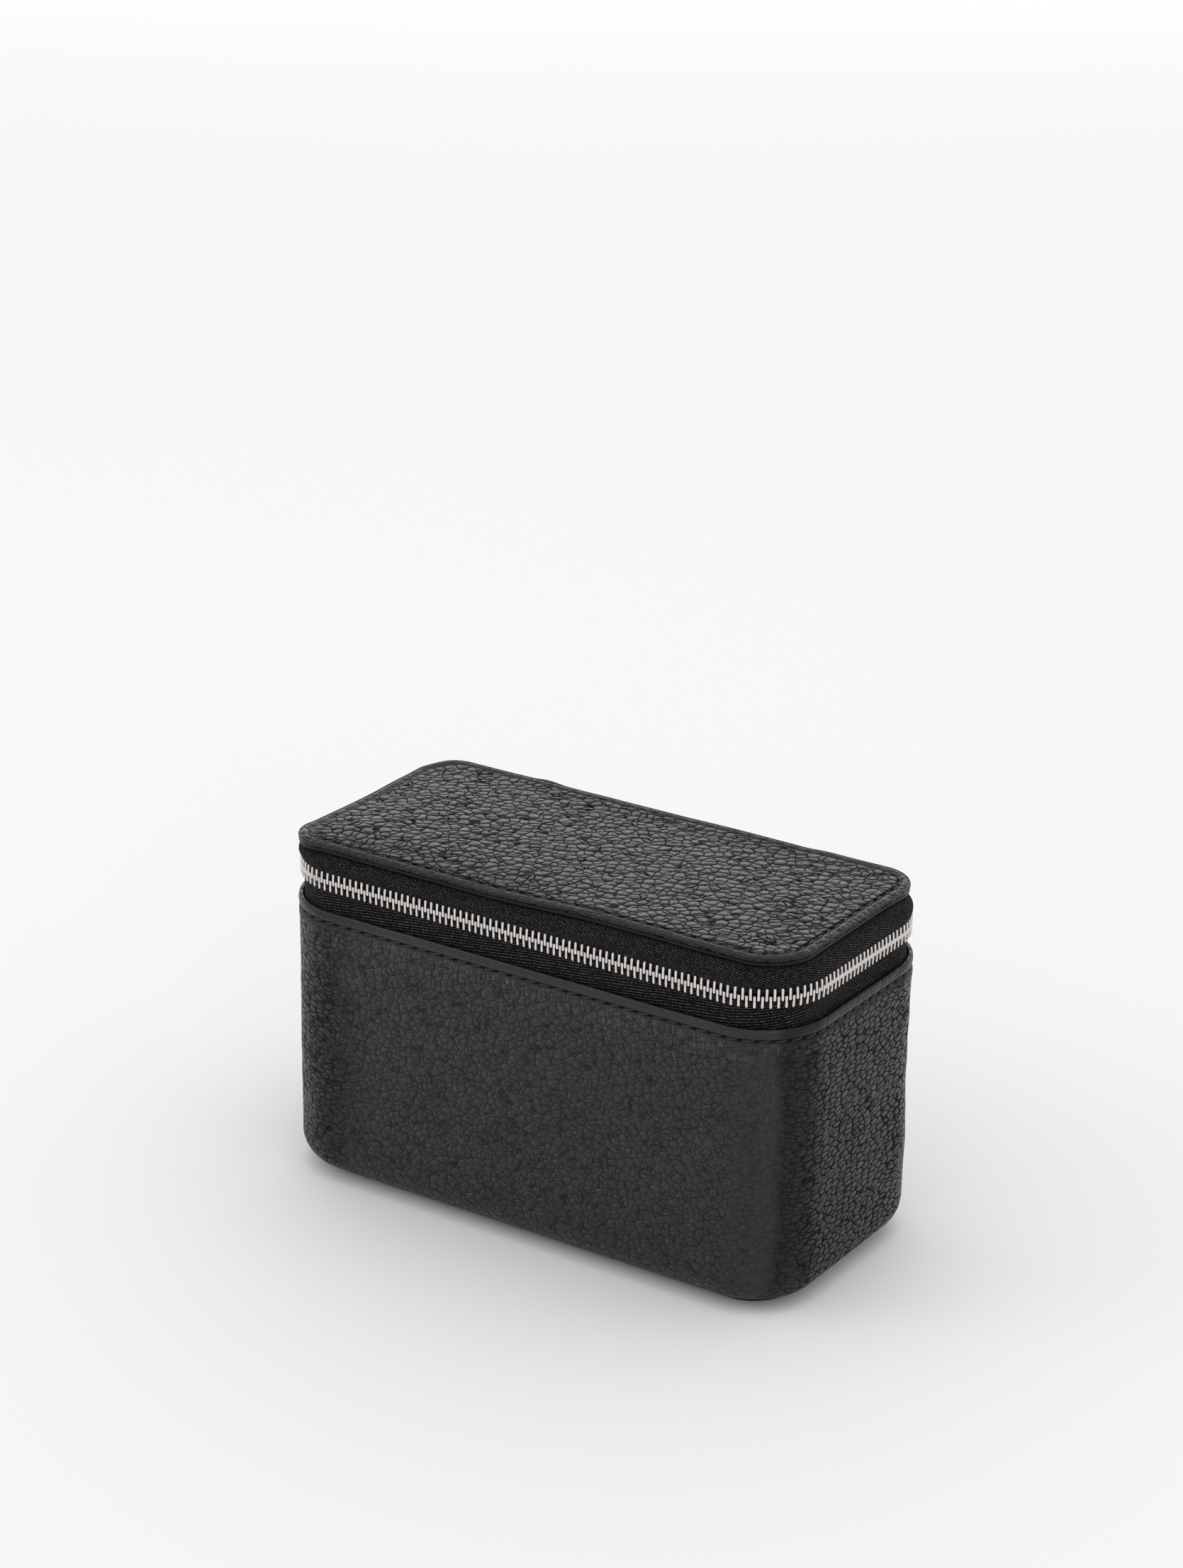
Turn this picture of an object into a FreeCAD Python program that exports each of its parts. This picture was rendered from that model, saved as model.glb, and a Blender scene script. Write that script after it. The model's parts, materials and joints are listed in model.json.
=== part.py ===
"""A zipped leather jewellery case with a lift-out ring tray, in millimetres.

+X runs along the case, +Y points to the back, where the leather hinge is, and +Z is up.
The origin is the centre of the base panel's underside.
"""
import FreeCAD, Part
import math
import os
from FreeCAD import Placement, Rotation, Vector

# Overall size of the case, over the outer leather
case_length = 150.0
case_depth = 72.0
corner_radius = 18.0     # upright corners, seen from above
rim_height = 74.5        # top edge of the outer leather
bottom_round = 8.0       # where the walls turn under

# Lid panel
lid_end_step = 2.75       # from the case's ends in to the lid's ends
lid_side_step = 2.75     # from the case's front and back in to the lid's
lid_radius = 11.0
lid_rise = 17.5          # from the rim's edge to the lid's top
lid_edge_round = 0.7

# Sheet thicknesses
base_thick = 1.2
leather_thick = 1.2
backing_thick = 1.0
tape_thick = 0.6
shell_thick = 1.8
lining_thick = 0.8
lid_board_thick = 1.4
hinge_thick = 1.4
hinge_lining_thick = 0.6
floor_pad_thick = 3.2
lid_pad_thick = 2.6

# Leather details
base_margin = 7.0        # from the wall's outer face to the base panel's edge
turn_in = 14.0           # width of the leather turned under the shell
rim_round = 0.45
rim_stitch_drop = 2.9    # from the rim's edge to the stitch line
lid_stitch_inset = 2.8   # from the lid's edge to the stitch line
stitch_pitch = 4.0
stitch_length = 3.1
stitch_width = 0.6
stitch_thick = 0.3
groove_width = 1.1
groove_depth = 0.45

# Zip
zip_rise = 7.8           # from the rim's edge to the closed chain, where the lid's hinge axis is
tooth_pitch = 1.75
tooth_thick = 0.7
tooth_depth = 2.2        # through the tape
tooth_mesh = 0.55        # how far a head passes the zip line
tooth_reach = 2.3        # how far a leg stands from the zip line
tooth_slot_clear = 0.05
tape_edge_gap = 1.1      # from the zip line to each tape's edge
tape_hem = 8.3           # width of the lower tape held behind the rim
tape_bend = 3.0          # outer radius where the upper tape turns in under the lid
flange_width = 7.0       # width of the upper tape held inside the lid
twist_depth = 8.0        # from the case's back, where the upper tape twists as the lid opens
lid_lining_inset = 2.5     # keeps clear of the slider and pull as the lid opens
lid_board_gap = 0.4      # from the tape's inner edge to the lid board

# Hinge, between the two ends of the zip
left_zip_end = 12.0      # straight run of zip behind the left back corner
hinge_full_gap = 0.5     # from the rim and from the bend to the hinge's thick part

# Slider and pull
slider_length = 8.0
slider_travel = 5.0      # straight run left for the slider
slider_end_gap = 1.4     # from the end of that run to the right back corner
slider_play = 0.25       # between the teeth and the channel
slider_plate = 0.8
slider_flange = 0.8
slot_half = 0.6
nose_flare = 0.5
wedge_length = 2.8
wedge_half = 0.9
stop_width = 1.2
stop_gap = 0.2
bail_wire = 0.7          # radius
bail_clear = 1.7         # under the bail
bail_end = 0.95          # from the slider's ends to the bail's legs
pull_play = 0.15
pull_leather = 1.05
pull_length = 36.0
pull_side_gap = 0.25

# Tray and inside
fit_clear = 0.5          # round the tray
ledge_thick = 2.5
divider_thick = 2.4
lower_divider_drop = 2.0
tray_floor_thick = 2.0
tray_wall_thick = 2.2
tray_drop = 3.0          # from the rim's edge to the tray's top
tray_height = 25.5
tray_divider_height = 18.0
roll_count = 4
roll_pitch = 12.0
roll_height = 16.0
roll_gap = 0.2
end_compartment = 41.3   # width of the right-hand compartment
loop_width = 14.0
loop_rise = 8.0
loop_leg = 7.0
ribbon_thick = 0.7
lid_pad_margin = 9.5
pad_edge_round = 1.4

# Levels and places worked out from the sizes above
zip_line = rim_height + zip_rise
lid_top = rim_height + lid_rise
tray_top = rim_height - tray_drop
ledge_top = tray_top - tray_height
leather_bottom = base_thick
shell_bottom = leather_bottom + leather_thick
lining_bottom = shell_bottom + shell_thick + 0.2
floor_level = lining_bottom + lining_thick
pad_level = floor_level + floor_pad_thick
shell_inset = leather_thick
lining_inset = shell_inset + shell_thick
room_inset = lining_inset + lining_thick
shell_top = rim_height - 2.0
tape_bottom = rim_height - tape_hem
tape_inset = leather_thick
chain_inset = tape_inset + tape_thick / 2
backing_level = lid_top - leather_thick - backing_thick
flange_level = backing_level - tape_thick
lid_board_level = backing_level - lid_board_thick
lid_lining_level = lid_board_level - lining_thick
lid_pad_level = lid_lining_level - lid_pad_thick
chain_y = case_depth / 2 - chain_inset
corner_start = case_length / 2 - corner_radius
slider_run = 2 * stop_gap + stop_width + slider_length + slider_travel + slider_end_gap
hinge_left = -corner_start + left_zip_end
hinge_right = corner_start - slider_run
slider_start = hinge_right + 2 * stop_gap + stop_width
tray_inset = room_inset + fit_clear
tray_room_inset = tray_inset + tray_wall_thick
tray_floor_top = ledge_top + tray_floor_thick
tray_room_left = -case_length / 2 + tray_room_inset
tray_room_right = case_length / 2 - tray_room_inset
roll_divider_x = tray_room_left + roll_count * roll_pitch + roll_gap + ribbon_thick + divider_thick / 2

split_divider_x = tray_room_right - end_compartment - divider_thick / 2

CASE = (case_length, case_depth, corner_radius)
LID = (case_length - 2 * lid_end_step, case_depth - 2 * lid_side_step, lid_radius)
FAR = 400.0


# Shapes that repeat

def inset(plan, by):
    """The plan (length, depth, corner radius) drawn in by a distance."""
    length, depth, radius = plan
    return length - 2 * by, depth - 2 * by, max(radius - by, 0.5)


def plan_face(plan, z):
    """A rounded rectangle lying at height z."""
    length, depth, radius = plan
    x, y = length / 2, depth / 2
    k = radius * (1 - math.sqrt(0.5))
    corners = [(x, y), (-x, y), (-x, -y), (x, -y)]
    edges = []
    for n, (cx, cy) in enumerate(corners):
        sx, sy = math.copysign(1, cx), math.copysign(1, cy)
        along_x = Vector(cx - sx * radius, cy, z)
        along_y = Vector(cx, cy - sy * radius, z)
        start, end = (along_y, along_x) if n % 2 == 0 else (along_x, along_y)
        middle = Vector(cx - sx * k, cy - sy * k, z)
        edges.append(Part.Arc(start, middle, end).toShape())
        nx, ny = corners[(n + 1) % 4]
        tx, ty = math.copysign(1, nx), math.copysign(1, ny)
        if n % 2 == 0:
            following = Vector(nx - tx * radius, ny, z)
        else:
            following = Vector(nx, ny - ty * radius, z)
        edges.append(Part.LineSegment(end, following).toShape())
    return Part.Face(Part.Wire(edges))


def slab(plan, low, high):
    """A rounded rectangle raised from one height to another."""
    return plan_face(plan, low).extrude(Vector(0, 0, high - low))


def ring(outer, inner, low, high):
    return slab(outer, low, high).cut(slab(inner, low - 1, high + 1))


def box(x, y, z):
    """A block from three (low, high) pairs."""
    corner = Vector(x[0], y[0], z[0])
    return Part.makeBox(x[1] - x[0], y[1] - y[0], z[1] - z[0], corner)


def level_edges(shape, z):
    """The edges that lie flat at height z."""
    return [e for e in shape.Edges if abs(e.BoundBox.ZMin - z) < 1e-6 and abs(e.BoundBox.ZMax - z) < 1e-6]


def rounded(shape, z, radius):
    return shape.makeFillet(radius, level_edges(shape, z))


def tub(plan, low, high, bottom_radius):
    """A slab whose bottom edge is rounded."""
    return rounded(slab(plan, low, high), low, bottom_radius)


def perimeter(plan):
    length, depth, radius = plan
    return 2 * (length + depth) - 8 * radius + 2 * math.pi * radius


def perimeter_point(plan, distance):
    """Where a walk round the plan has got to, as (x, y, heading in degrees).

    The walk starts at the middle of the back and goes by the left, front and right.
    """
    length, depth, radius = plan
    run_x, run_y = length - 2 * radius, depth - 2 * radius
    heading = 180.0
    x, y = 0.0, depth / 2
    left = distance
    for run in (run_x / 2, run_y, run_x, run_y, run_x / 2):
        a = math.radians(heading)
        step = min(left, run)
        x, y = x + step * math.cos(a), y + step * math.sin(a)
        left -= step
        if left <= 1e-9:
            break
        turn = min(left / radius, math.pi / 2)
        cx, cy = x - radius * math.sin(a), y + radius * math.cos(a)
        x, y = cx + radius * math.sin(a + turn), cy - radius * math.cos(a + turn)
        heading += math.degrees(turn)
        left -= turn * radius
        if left <= 1e-9:
            break
    return x, y, heading


def stand_on(shape, place, z=0.0):
    """A copy of a small shape made at the origin, set at a place on a walk."""
    x, y, heading = place
    copy = shape.copy()
    copy.Placement = Placement(Vector(x, y, z), Rotation(Vector(0, 0, 1), heading))
    return copy


def stitch_row(plan, stitch, z):
    """Stitches evenly spaced all round a plan."""
    around = perimeter(plan)
    count = round(around / stitch_pitch)
    return Part.makeCompound(
        [stand_on(stitch, perimeter_point(plan, (n + 0.5) * around / count), z) for n in range(count)]
    )


# Case: base, leather, shell and lining

def base_panel():
    panel = slab(inset(CASE, base_margin), 0, base_thick)
    return rounded(panel, 0, 0.4)


def body_leather():
    skin = tub(CASE, leather_bottom, rim_height, bottom_round)
    skin = rounded(skin, rim_height, rim_round)
    hollow = tub(inset(CASE, leather_thick), shell_bottom, rim_height + 5, bottom_round - leather_thick)
    skin = skin.cut(hollow).cut(slab(inset(CASE, bottom_round + turn_in), 0, shell_bottom + 1))
    line = rim_height - rim_stitch_drop
    groove = ring(
        inset(CASE, -1),
        inset(CASE, groove_depth),
        line - groove_width / 2,
        line + groove_width / 2,
    )
    return skin.cut(groove)


def body_shell():
    outer = tub(inset(CASE, shell_inset), shell_bottom, shell_top, bottom_round - shell_inset)
    inner = tub(inset(CASE, lining_inset), lining_bottom, shell_top + 5, bottom_round - lining_inset)
    tape_rebate = ring(CASE, inset(CASE, shell_inset + tape_thick), tape_bottom - 0.2, shell_top + 1)
    return outer.cut(inner).cut(tape_rebate)


def case_lining():
    outer = tub(inset(CASE, lining_inset), lining_bottom, shell_top, bottom_round - lining_inset)
    inner_radius = bottom_round - room_inset
    inner = tub(inset(CASE, room_inset), floor_level, shell_top + 5, inner_radius)
    lip = ring(
        inset(CASE, tape_inset + tape_thick),
        inset(CASE, room_inset),
        shell_top,
        shell_top + lining_thick,
    )
    return outer.cut(inner).fuse(lip).removeSplitter()


def floor_pad():
    room = tub(inset(CASE, room_inset), floor_level, rim_height, bottom_round - room_inset)
    pad = room.common(slab(CASE, floor_level - 1, pad_level))
    return rounded(pad, pad_level, 0.8)


def tray_ledge():
    bottom = floor_level + bottom_round - room_inset
    plan = inset(CASE, room_inset)
    return ring(plan, inset(plan, ledge_thick), bottom, ledge_top)


def lower_divider():
    reach = case_depth / 2 - room_inset - ledge_thick
    half = divider_thick / 2
    board = box((-half, half), (-reach, reach), (pad_level, ledge_top - lower_divider_drop))
    return rounded(board, ledge_top - lower_divider_drop, half * 0.6)


def rim_stitches():
    stitch = box(
        (-stitch_length / 2, stitch_length / 2),
        (-stitch_thick / 2, stitch_thick / 2),
        (-stitch_width / 2, stitch_width / 2),
    )
    seat = inset(CASE, groove_depth - stitch_thick / 2 - 0.1)
    return stitch_row(seat, stitch, rim_height - rim_stitch_drop)


# Zip cloth

def across_hinge(low, high, x=(hinge_left, hinge_right)):
    """A block over part of the back wall, to cut the cloth with."""
    return box(x, (0, FAR), (low, high))


def cloth_dome(low):
    """The cloth ring that climbs the wall line, bends in and runs inside the lid."""
    outer = rounded(slab(inset(CASE, tape_inset), low, backing_level), backing_level, tape_bend)
    inner_plan = inset(CASE, tape_inset + tape_thick)
    inner = rounded(slab(inner_plan, low - 1, flange_level), flange_level, tape_bend - tape_thick)
    return outer.cut(inner).cut(slab(inset(LID, flange_width), low - 1, lid_top))


def lower_tape():
    plan = inset(CASE, tape_inset)
    cloth = ring(plan, inset(plan, tape_thick), tape_bottom, zip_line - tape_edge_gap)
    return cloth.cut(across_hinge(0, lid_top))


def twist_zone(x):
    return box(x, (case_depth / 2 - twist_depth, FAR), (0, lid_top))


def upper_tape():
    cloth = cloth_dome(zip_line + tape_edge_gap)
    cloth = cloth.cut(across_hinge(0, lid_top, (-corner_start, corner_start)))
    return cloth.cut(twist_zone((-FAR, FAR)))


def zip_end_tape(x):
    cloth = cloth_dome(zip_line + tape_edge_gap)
    return cloth.common(twist_zone(x))


def hinge_leather():
    skived = cloth_dome(tape_bottom).common(across_hinge(0, lid_top))
    face = case_depth / 2 - tape_inset - tape_thick
    full = box(
        (hinge_left, hinge_right),
        (face - hinge_thick + tape_thick, face),
        (rim_height + hinge_full_gap, backing_level - tape_bend - hinge_full_gap),
    )
    return skived.fuse(full).removeSplitter()


def hinge_lining():
    face = case_depth / 2 - tape_inset - hinge_thick
    return box(
        (hinge_left, hinge_right),
        (face - hinge_lining_thick, face),
        (shell_top + lining_thick + 0.1, backing_level - tape_bend - hinge_full_gap),
    )


# Zip teeth and stops

def tooth(up):
    """One tooth astride its tape, at the origin, with its head at the zip line.

    up is 1 on the upper tape and -1 on the lower.
    """
    half = tooth_depth / 2
    slot = tape_thick / 2 + tooth_slot_clear
    slot_end = tape_edge_gap - tooth_slot_clear
    outline = [
        (-half, -tooth_mesh),
        (half, -tooth_mesh),
        (half, tooth_reach),
        (slot, tooth_reach),
        (slot, slot_end),
        (-slot, slot_end),
        (-slot, tooth_reach),
        (-half, tooth_reach),
    ]
    points = [Vector(-tooth_thick / 2, y, up * z) for y, z in outline]
    face = Part.Face(Part.makePolygon(points + points[:1]))
    return face.extrude(Vector(tooth_thick, 0, 0))


ZIP_PLAN = inset(CASE, chain_inset)
ZIP_AROUND = perimeter(ZIP_PLAN)
zip_first = -hinge_left + stop_gap * 2 + stop_width + tooth_pitch / 2
zip_last = ZIP_AROUND - (slider_start + wedge_length + tooth_pitch / 2)
left_corner = corner_start
right_corner = ZIP_AROUND - corner_start
back_corner = math.pi / 2 * (corner_radius - chain_inset)


def teeth(up, first, last):
    """The teeth of one tape whose places on the walk lie from first to last."""
    pattern = tooth(up)
    shift = 0 if up < 0 else 0.5
    count = int((zip_last - zip_first) / tooth_pitch)
    places = [zip_first + (n + shift) * tooth_pitch for n in range(count)]
    inside = [p for p in places if first <= p < last]
    return [stand_on(pattern, perimeter_point(ZIP_PLAN, p), zip_line) for p in inside]


def lower_teeth():
    return Part.makeCompound(teeth(-1, left_corner, right_corner))


def upper_teeth():
    return Part.makeCompound(teeth(1, left_corner + back_corner, right_corner - back_corner))


def corner_teeth(first):
    """Upper teeth round one back corner, where the tape twists as the lid opens."""
    return Part.makeCompound(teeth(1, first, first + back_corner))


def zip_end_chain(first, last):
    """Both rows of teeth on a straight back run, which stay meshed."""
    return Part.makeCompound(teeth(-1, first, last) + teeth(1, first, last))


def stop_clamp(x, low, high):
    """A folded metal clip on the tapes, from low to high beside the zip line."""
    half = tooth_depth / 2
    slot = tape_thick / 2 + tooth_slot_clear
    metal = box((x, x + stop_width), (chain_y - half, chain_y + half), (zip_line + low, zip_line + high))
    for side in (-1, 1):
        room = sorted((zip_line + side * (tape_edge_gap - tooth_slot_clear), zip_line + side * FAR))
        metal = metal.cut(box((x - 1, x + stop_width + 1), (chain_y - slot, chain_y + slot), room))
    return metal


def bottom_stop():
    return stop_clamp(hinge_left - stop_gap - stop_width, -tooth_reach, tooth_reach)


def top_stops():
    x = hinge_right + stop_gap
    lower = stop_clamp(x, -tooth_reach, -0.2)
    upper = stop_clamp(x, 0.2, tooth_reach)
    return Part.makeCompound([lower, upper])


# Slider and its pull

channel = tooth_depth / 2 + slider_play
slider_half = tooth_reach + slider_play + slider_flange
bail_y = chain_y + channel + slider_plate + bail_clear + bail_wire


def slider_body():
    x0, x1 = slider_start, slider_start + slider_length
    outline = [
        (x0, slider_half - 1.2),
        (x0 + 0.9, slider_half + nose_flare),
        (x0 + wedge_length, slider_half + nose_flare),
        (x0 + wedge_length + 2.0, slider_half),
        (x1 - 0.8, slider_half),
        (x1, slider_half - 0.9),
    ]
    points = [(x, z) for x, z in outline] + [(x, -z) for x, z in reversed(outline)]
    points = [Vector(x, 0, zip_line + z) for x, z in points]
    face = Part.Face(Part.makePolygon(points + points[:1]))
    plates = []
    for side in (-1, 1):
        start = chain_y + side * channel
        plate = face.copy()
        plate.translate(Vector(0, start, 0))
        plate = plate.extrude(Vector(0, side * slider_plate, 0))
        near, far = sorted((chain_y + side * slot_half, start + side * 0.01))
        for edge in (-1, 1):
            rail = sorted((zip_line + edge * (slider_half - slider_flange), zip_line + edge * slider_half))
            plate = plate.fuse(box((x0 + 0.9, x1 - 0.8), (near, far), rail))
        plates.append(plate)
    wedge = [(x0 + 0.2, 0), (x0 + wedge_length * 0.4, wedge_half), (x0 + wedge_length, 0)]
    wedge += [(x0 + wedge_length * 0.4, -wedge_half)]
    corners = [Vector(x, chain_y - channel, zip_line + z) for x, z in wedge]
    post = Part.Face(Part.makePolygon(corners + corners[:1])).extrude(Vector(0, 2 * channel, 0))
    return plates[0].fuse(post).fuse(plates[1]).removeSplitter()


def slider_bail():
    """The wire arch that the pull hangs on, standing on the slider's outer plate."""
    foot = chain_y + channel + slider_plate
    ends = [slider_start + bail_end, slider_start + slider_length - bail_end]
    centres = [Vector(x, bail_y, zip_line) for x in ends]
    arch = Part.makeCylinder(bail_wire, ends[1] - ends[0], centres[0], Vector(1, 0, 0))
    for x, centre in zip(ends, centres):
        leg = Part.makeCylinder(bail_wire, bail_y - foot, Vector(x, foot, zip_line), Vector(0, 1, 0))
        arch = arch.fuse(leg).fuse(Part.makeSphere(bail_wire, centre))
    return arch.removeSplitter()


pull_eye = bail_wire + pull_play
pull_outer = pull_eye + pull_leather
pull_x = (
    slider_start + bail_end + bail_wire + pull_side_gap,
    slider_start + slider_length - bail_end - bail_wire - pull_side_gap,
)


def pull_strap():
    """A leather strip folded over the bail and sewn to itself."""
    width = pull_x[1] - pull_x[0]
    eye = Part.makeCylinder(pull_outer, width, Vector(pull_x[0], bail_y, zip_line), Vector(1, 0, 0))
    neck_drop = 3 * pull_outer
    outline = [
        (-pull_outer, 0),
        (pull_outer, 0),
        (pull_leather, -neck_drop),
        (pull_leather, -pull_length),
        (-pull_leather, -pull_length),
        (-pull_leather, -neck_drop),
    ]
    points = [Vector(pull_x[0], bail_y + y, zip_line + z) for y, z in outline]
    tail = Part.Face(Part.makePolygon(points + points[:1])).extrude(Vector(width, 0, 0))
    end = zip_line - pull_length
    corners = [
        e for e in tail.Edges
        if abs(e.BoundBox.ZMax - end) < 1e-6 and e.BoundBox.YLength > pull_leather
    ]
    tail = tail.makeFillet(width * 0.42, corners)
    strap = eye.fuse(tail).removeSplitter()
    hole_start = Vector(pull_x[0] - 1, bail_y, zip_line)
    return strap.cut(Part.makeCylinder(pull_eye, width + 2, hole_start, Vector(1, 0, 0)))


def pull_stitches():
    """Two upright rows of stitches on the pull's outer face."""
    front = bail_y + pull_leather
    top = zip_line - 3.6 * pull_outer
    room = pull_length - 3.6 * pull_outer - 4
    count = int(room / (stitch_length * 0.9))
    step = room / count
    made = []
    for x in (pull_x[0] + 1.0, pull_x[1] - 1.0):
        for n in range(count):
            z = top - n * step
            made.append(box((x - 0.2, x + 0.2), (front, front + 0.2), (z - step * 0.78, z)))
    return Part.makeCompound(made)


# Lid

def lid_leather():
    low = lid_top - leather_thick
    panel = rounded(slab(LID, low, lid_top), lid_top, lid_edge_round)
    groove = ring(
        inset(LID, lid_stitch_inset - groove_width / 2),
        inset(LID, lid_stitch_inset + groove_width / 2),
        lid_top - groove_depth,
        lid_top + 1,
    )
    return panel.cut(groove)


def lid_backing():
    panel = slab(LID, backing_level, backing_level + backing_thick)
    return rounded(panel, backing_level, min(0.4, backing_thick / 3))


def lid_board_plan():
    return inset(LID, flange_width + lid_board_gap)


def lid_board():
    return slab(lid_board_plan(), lid_board_level, backing_level)


def lid_lining():
    panel = slab(inset(LID, lid_lining_inset), lid_lining_level, flange_level)
    pocket = slab(lid_board_plan(), lid_board_level, lid_top)
    inside_bend = slab(inset(CASE, tape_inset + tape_bend), 0, lid_top)
    return panel.common(inside_bend).cut(pocket)


def lid_pad():
    pad = slab(inset(LID, lid_pad_margin), lid_pad_level, lid_lining_level)
    return rounded(pad, lid_pad_level, min(pad_edge_round, lid_pad_thick * 0.8))


def lid_stitches():
    stitch = box(
        (-stitch_length / 2, stitch_length / 2),
        (-stitch_width / 2, stitch_width / 2),
        (-stitch_thick / 2, stitch_thick / 2),
    )
    seat = inset(LID, lid_stitch_inset)
    return stitch_row(seat, stitch, lid_top - groove_depth + stitch_thick / 2)


# Tray

def tray_wall():
    wall = ring(inset(CASE, tray_inset), inset(CASE, tray_room_inset), tray_floor_top, tray_top)
    return rounded(wall, tray_top, tray_wall_thick * 0.35)


def tray_floor():
    return slab(inset(CASE, tray_inset), ledge_top, tray_floor_top)


def tray_divider(x):
    reach = case_depth / 2 - tray_room_inset
    half = divider_thick / 2
    top = tray_floor_top + tray_divider_height
    board = box((x - half, x + half), (-reach, reach), (tray_floor_top, top))
    return rounded(board, top, half * 0.6)


def ring_roll(n):
    """One foam roll of the ring cushion, lying front to back."""
    left = tray_room_left + roll_gap + n * roll_pitch
    right = left + roll_pitch - roll_gap
    radius = (right - left) / 2
    reach = case_depth / 2 - tray_room_inset - roll_gap
    base = tray_floor_top
    shoulder = base + roll_height - radius
    block = box((left, right), (-reach, reach), (base, shoulder))
    crown = Part.makeCylinder(radius, 2 * reach, Vector(left + radius, -reach, shoulder), Vector(0, 1, 0))
    roll = block.fuse(crown).removeSplitter()
    return roll.common(slab(inset(CASE, tray_room_inset + roll_gap), base, tray_top))


def tray_lift_loop():
    """A ribbon glued to both faces of the divider, standing above it as a finger loop."""
    x = roll_divider_x
    top = tray_floor_top + tray_divider_height
    half = divider_thick / 2
    outer = box((x - half - ribbon_thick, x + half + ribbon_thick), (-loop_width / 2, loop_width / 2),
                (top - loop_leg, top + loop_rise))
    outer = rounded(outer, top + loop_rise, half * 0.8)
    inner = box((x - half, x + half), (-FAR, FAR), (top - FAR, top + loop_rise - ribbon_thick))
    return outer.cut(inner)


PARTS = {
    "base_panel": base_panel,
    "body_leather": body_leather,
    "body_shell": body_shell,
    "case_lining": case_lining,
    "floor_pad": floor_pad,
    "tray_ledge": tray_ledge,
    "lower_divider": lower_divider,
    "rim_stitches": rim_stitches,
    "lower_tape": lower_tape,
    "lower_teeth": lower_teeth,
    "zip_end_tape_left": lambda: zip_end_tape((-FAR, hinge_left)),
    "zip_end_tape_right": lambda: zip_end_tape((hinge_right, FAR)),
    "zip_end_chain_left": lambda: zip_end_chain(0, left_corner),
    "zip_end_chain_right": lambda: zip_end_chain(right_corner, ZIP_AROUND),
    "bottom_stop": bottom_stop,
    "top_stops": top_stops,
    "hinge_leather": hinge_leather,
    "hinge_lining": hinge_lining,
    "lid_leather": lid_leather,
    "lid_backing": lid_backing,
    "lid_board": lid_board,
    "lid_lining": lid_lining,
    "lid_pad": lid_pad,
    "lid_stitches": lid_stitches,
    "upper_tape": upper_tape,
    "upper_teeth": upper_teeth,
    "corner_teeth_left": lambda: corner_teeth(left_corner),
    "corner_teeth_right": lambda: corner_teeth(right_corner - back_corner),
    "slider_body": slider_body,
    "slider_bail": slider_bail,
    "pull_strap": pull_strap,
    "pull_stitches": pull_stitches,
    "tray_wall": tray_wall,
    "tray_floor": tray_floor,
    "tray_divider_rolls": lambda: tray_divider(roll_divider_x),
    "tray_divider_middle": lambda: tray_divider(split_divider_x),
    "tray_lift_loop": tray_lift_loop,
}
for number in range(roll_count):
    PARTS[f"ring_roll_{number + 1}"] = lambda number=number: ring_roll(number)

os.makedirs("parts", exist_ok=True)
for name, make in PARTS.items():
    shape = make()
    if not shape.isValid():
        raise ValueError(f"{name} is not a valid shape")
    shape.exportStep(f"parts/{name}.step")
    print(f"{name}: {len(shape.Solids)} solids, {shape.Volume:.1f} mm3")
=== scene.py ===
import json
import math
import random
import bmesh
import bpy
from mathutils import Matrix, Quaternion, Vector, noise


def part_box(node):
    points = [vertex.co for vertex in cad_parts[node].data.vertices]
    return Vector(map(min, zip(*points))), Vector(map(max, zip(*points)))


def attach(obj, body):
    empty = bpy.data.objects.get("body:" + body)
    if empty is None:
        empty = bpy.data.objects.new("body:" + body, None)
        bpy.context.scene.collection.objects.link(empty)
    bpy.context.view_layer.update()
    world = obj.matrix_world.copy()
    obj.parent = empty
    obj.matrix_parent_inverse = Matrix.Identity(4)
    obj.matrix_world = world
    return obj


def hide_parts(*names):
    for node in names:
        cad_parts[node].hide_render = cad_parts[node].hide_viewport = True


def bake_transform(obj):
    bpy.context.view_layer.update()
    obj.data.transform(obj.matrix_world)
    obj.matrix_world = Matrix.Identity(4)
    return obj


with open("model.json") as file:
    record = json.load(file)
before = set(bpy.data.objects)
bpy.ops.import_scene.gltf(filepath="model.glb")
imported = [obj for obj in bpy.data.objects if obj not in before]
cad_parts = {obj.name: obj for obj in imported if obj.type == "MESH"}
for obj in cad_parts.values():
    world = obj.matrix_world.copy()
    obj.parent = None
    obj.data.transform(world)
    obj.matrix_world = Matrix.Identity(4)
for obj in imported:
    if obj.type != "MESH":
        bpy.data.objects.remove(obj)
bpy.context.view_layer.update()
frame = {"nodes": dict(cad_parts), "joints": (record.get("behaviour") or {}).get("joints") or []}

# Photographer's table. A broad sheet of pale paper under the case, a big soft
# light behind and above, two weaker ones at the sides, and a long lens.
floor_mesh = bpy.data.meshes.new("paper_floor")
floor_mesh.from_pydata([(-8, -8, 0), (8, -8, 0), (8, 8, 0), (-8, 8, 0)], [], [(0, 1, 2, 3)])
paper_floor = bpy.data.objects.new("paper_floor", floor_mesh)
bpy.context.scene.collection.objects.link(paper_floor)
paper = bpy.data.materials.new("paper")
paper.use_nodes = True
paper.node_tree.nodes["Principled BSDF"].inputs["Base Color"].default_value = (0.865, 0.862, 0.872, 1)
paper.node_tree.nodes["Principled BSDF"].inputs["Roughness"].default_value = 0.75
paper.node_tree.nodes["Principled BSDF"].inputs["Specular IOR Level"].default_value = 0.2
floor_mesh.materials.append(paper)

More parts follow.
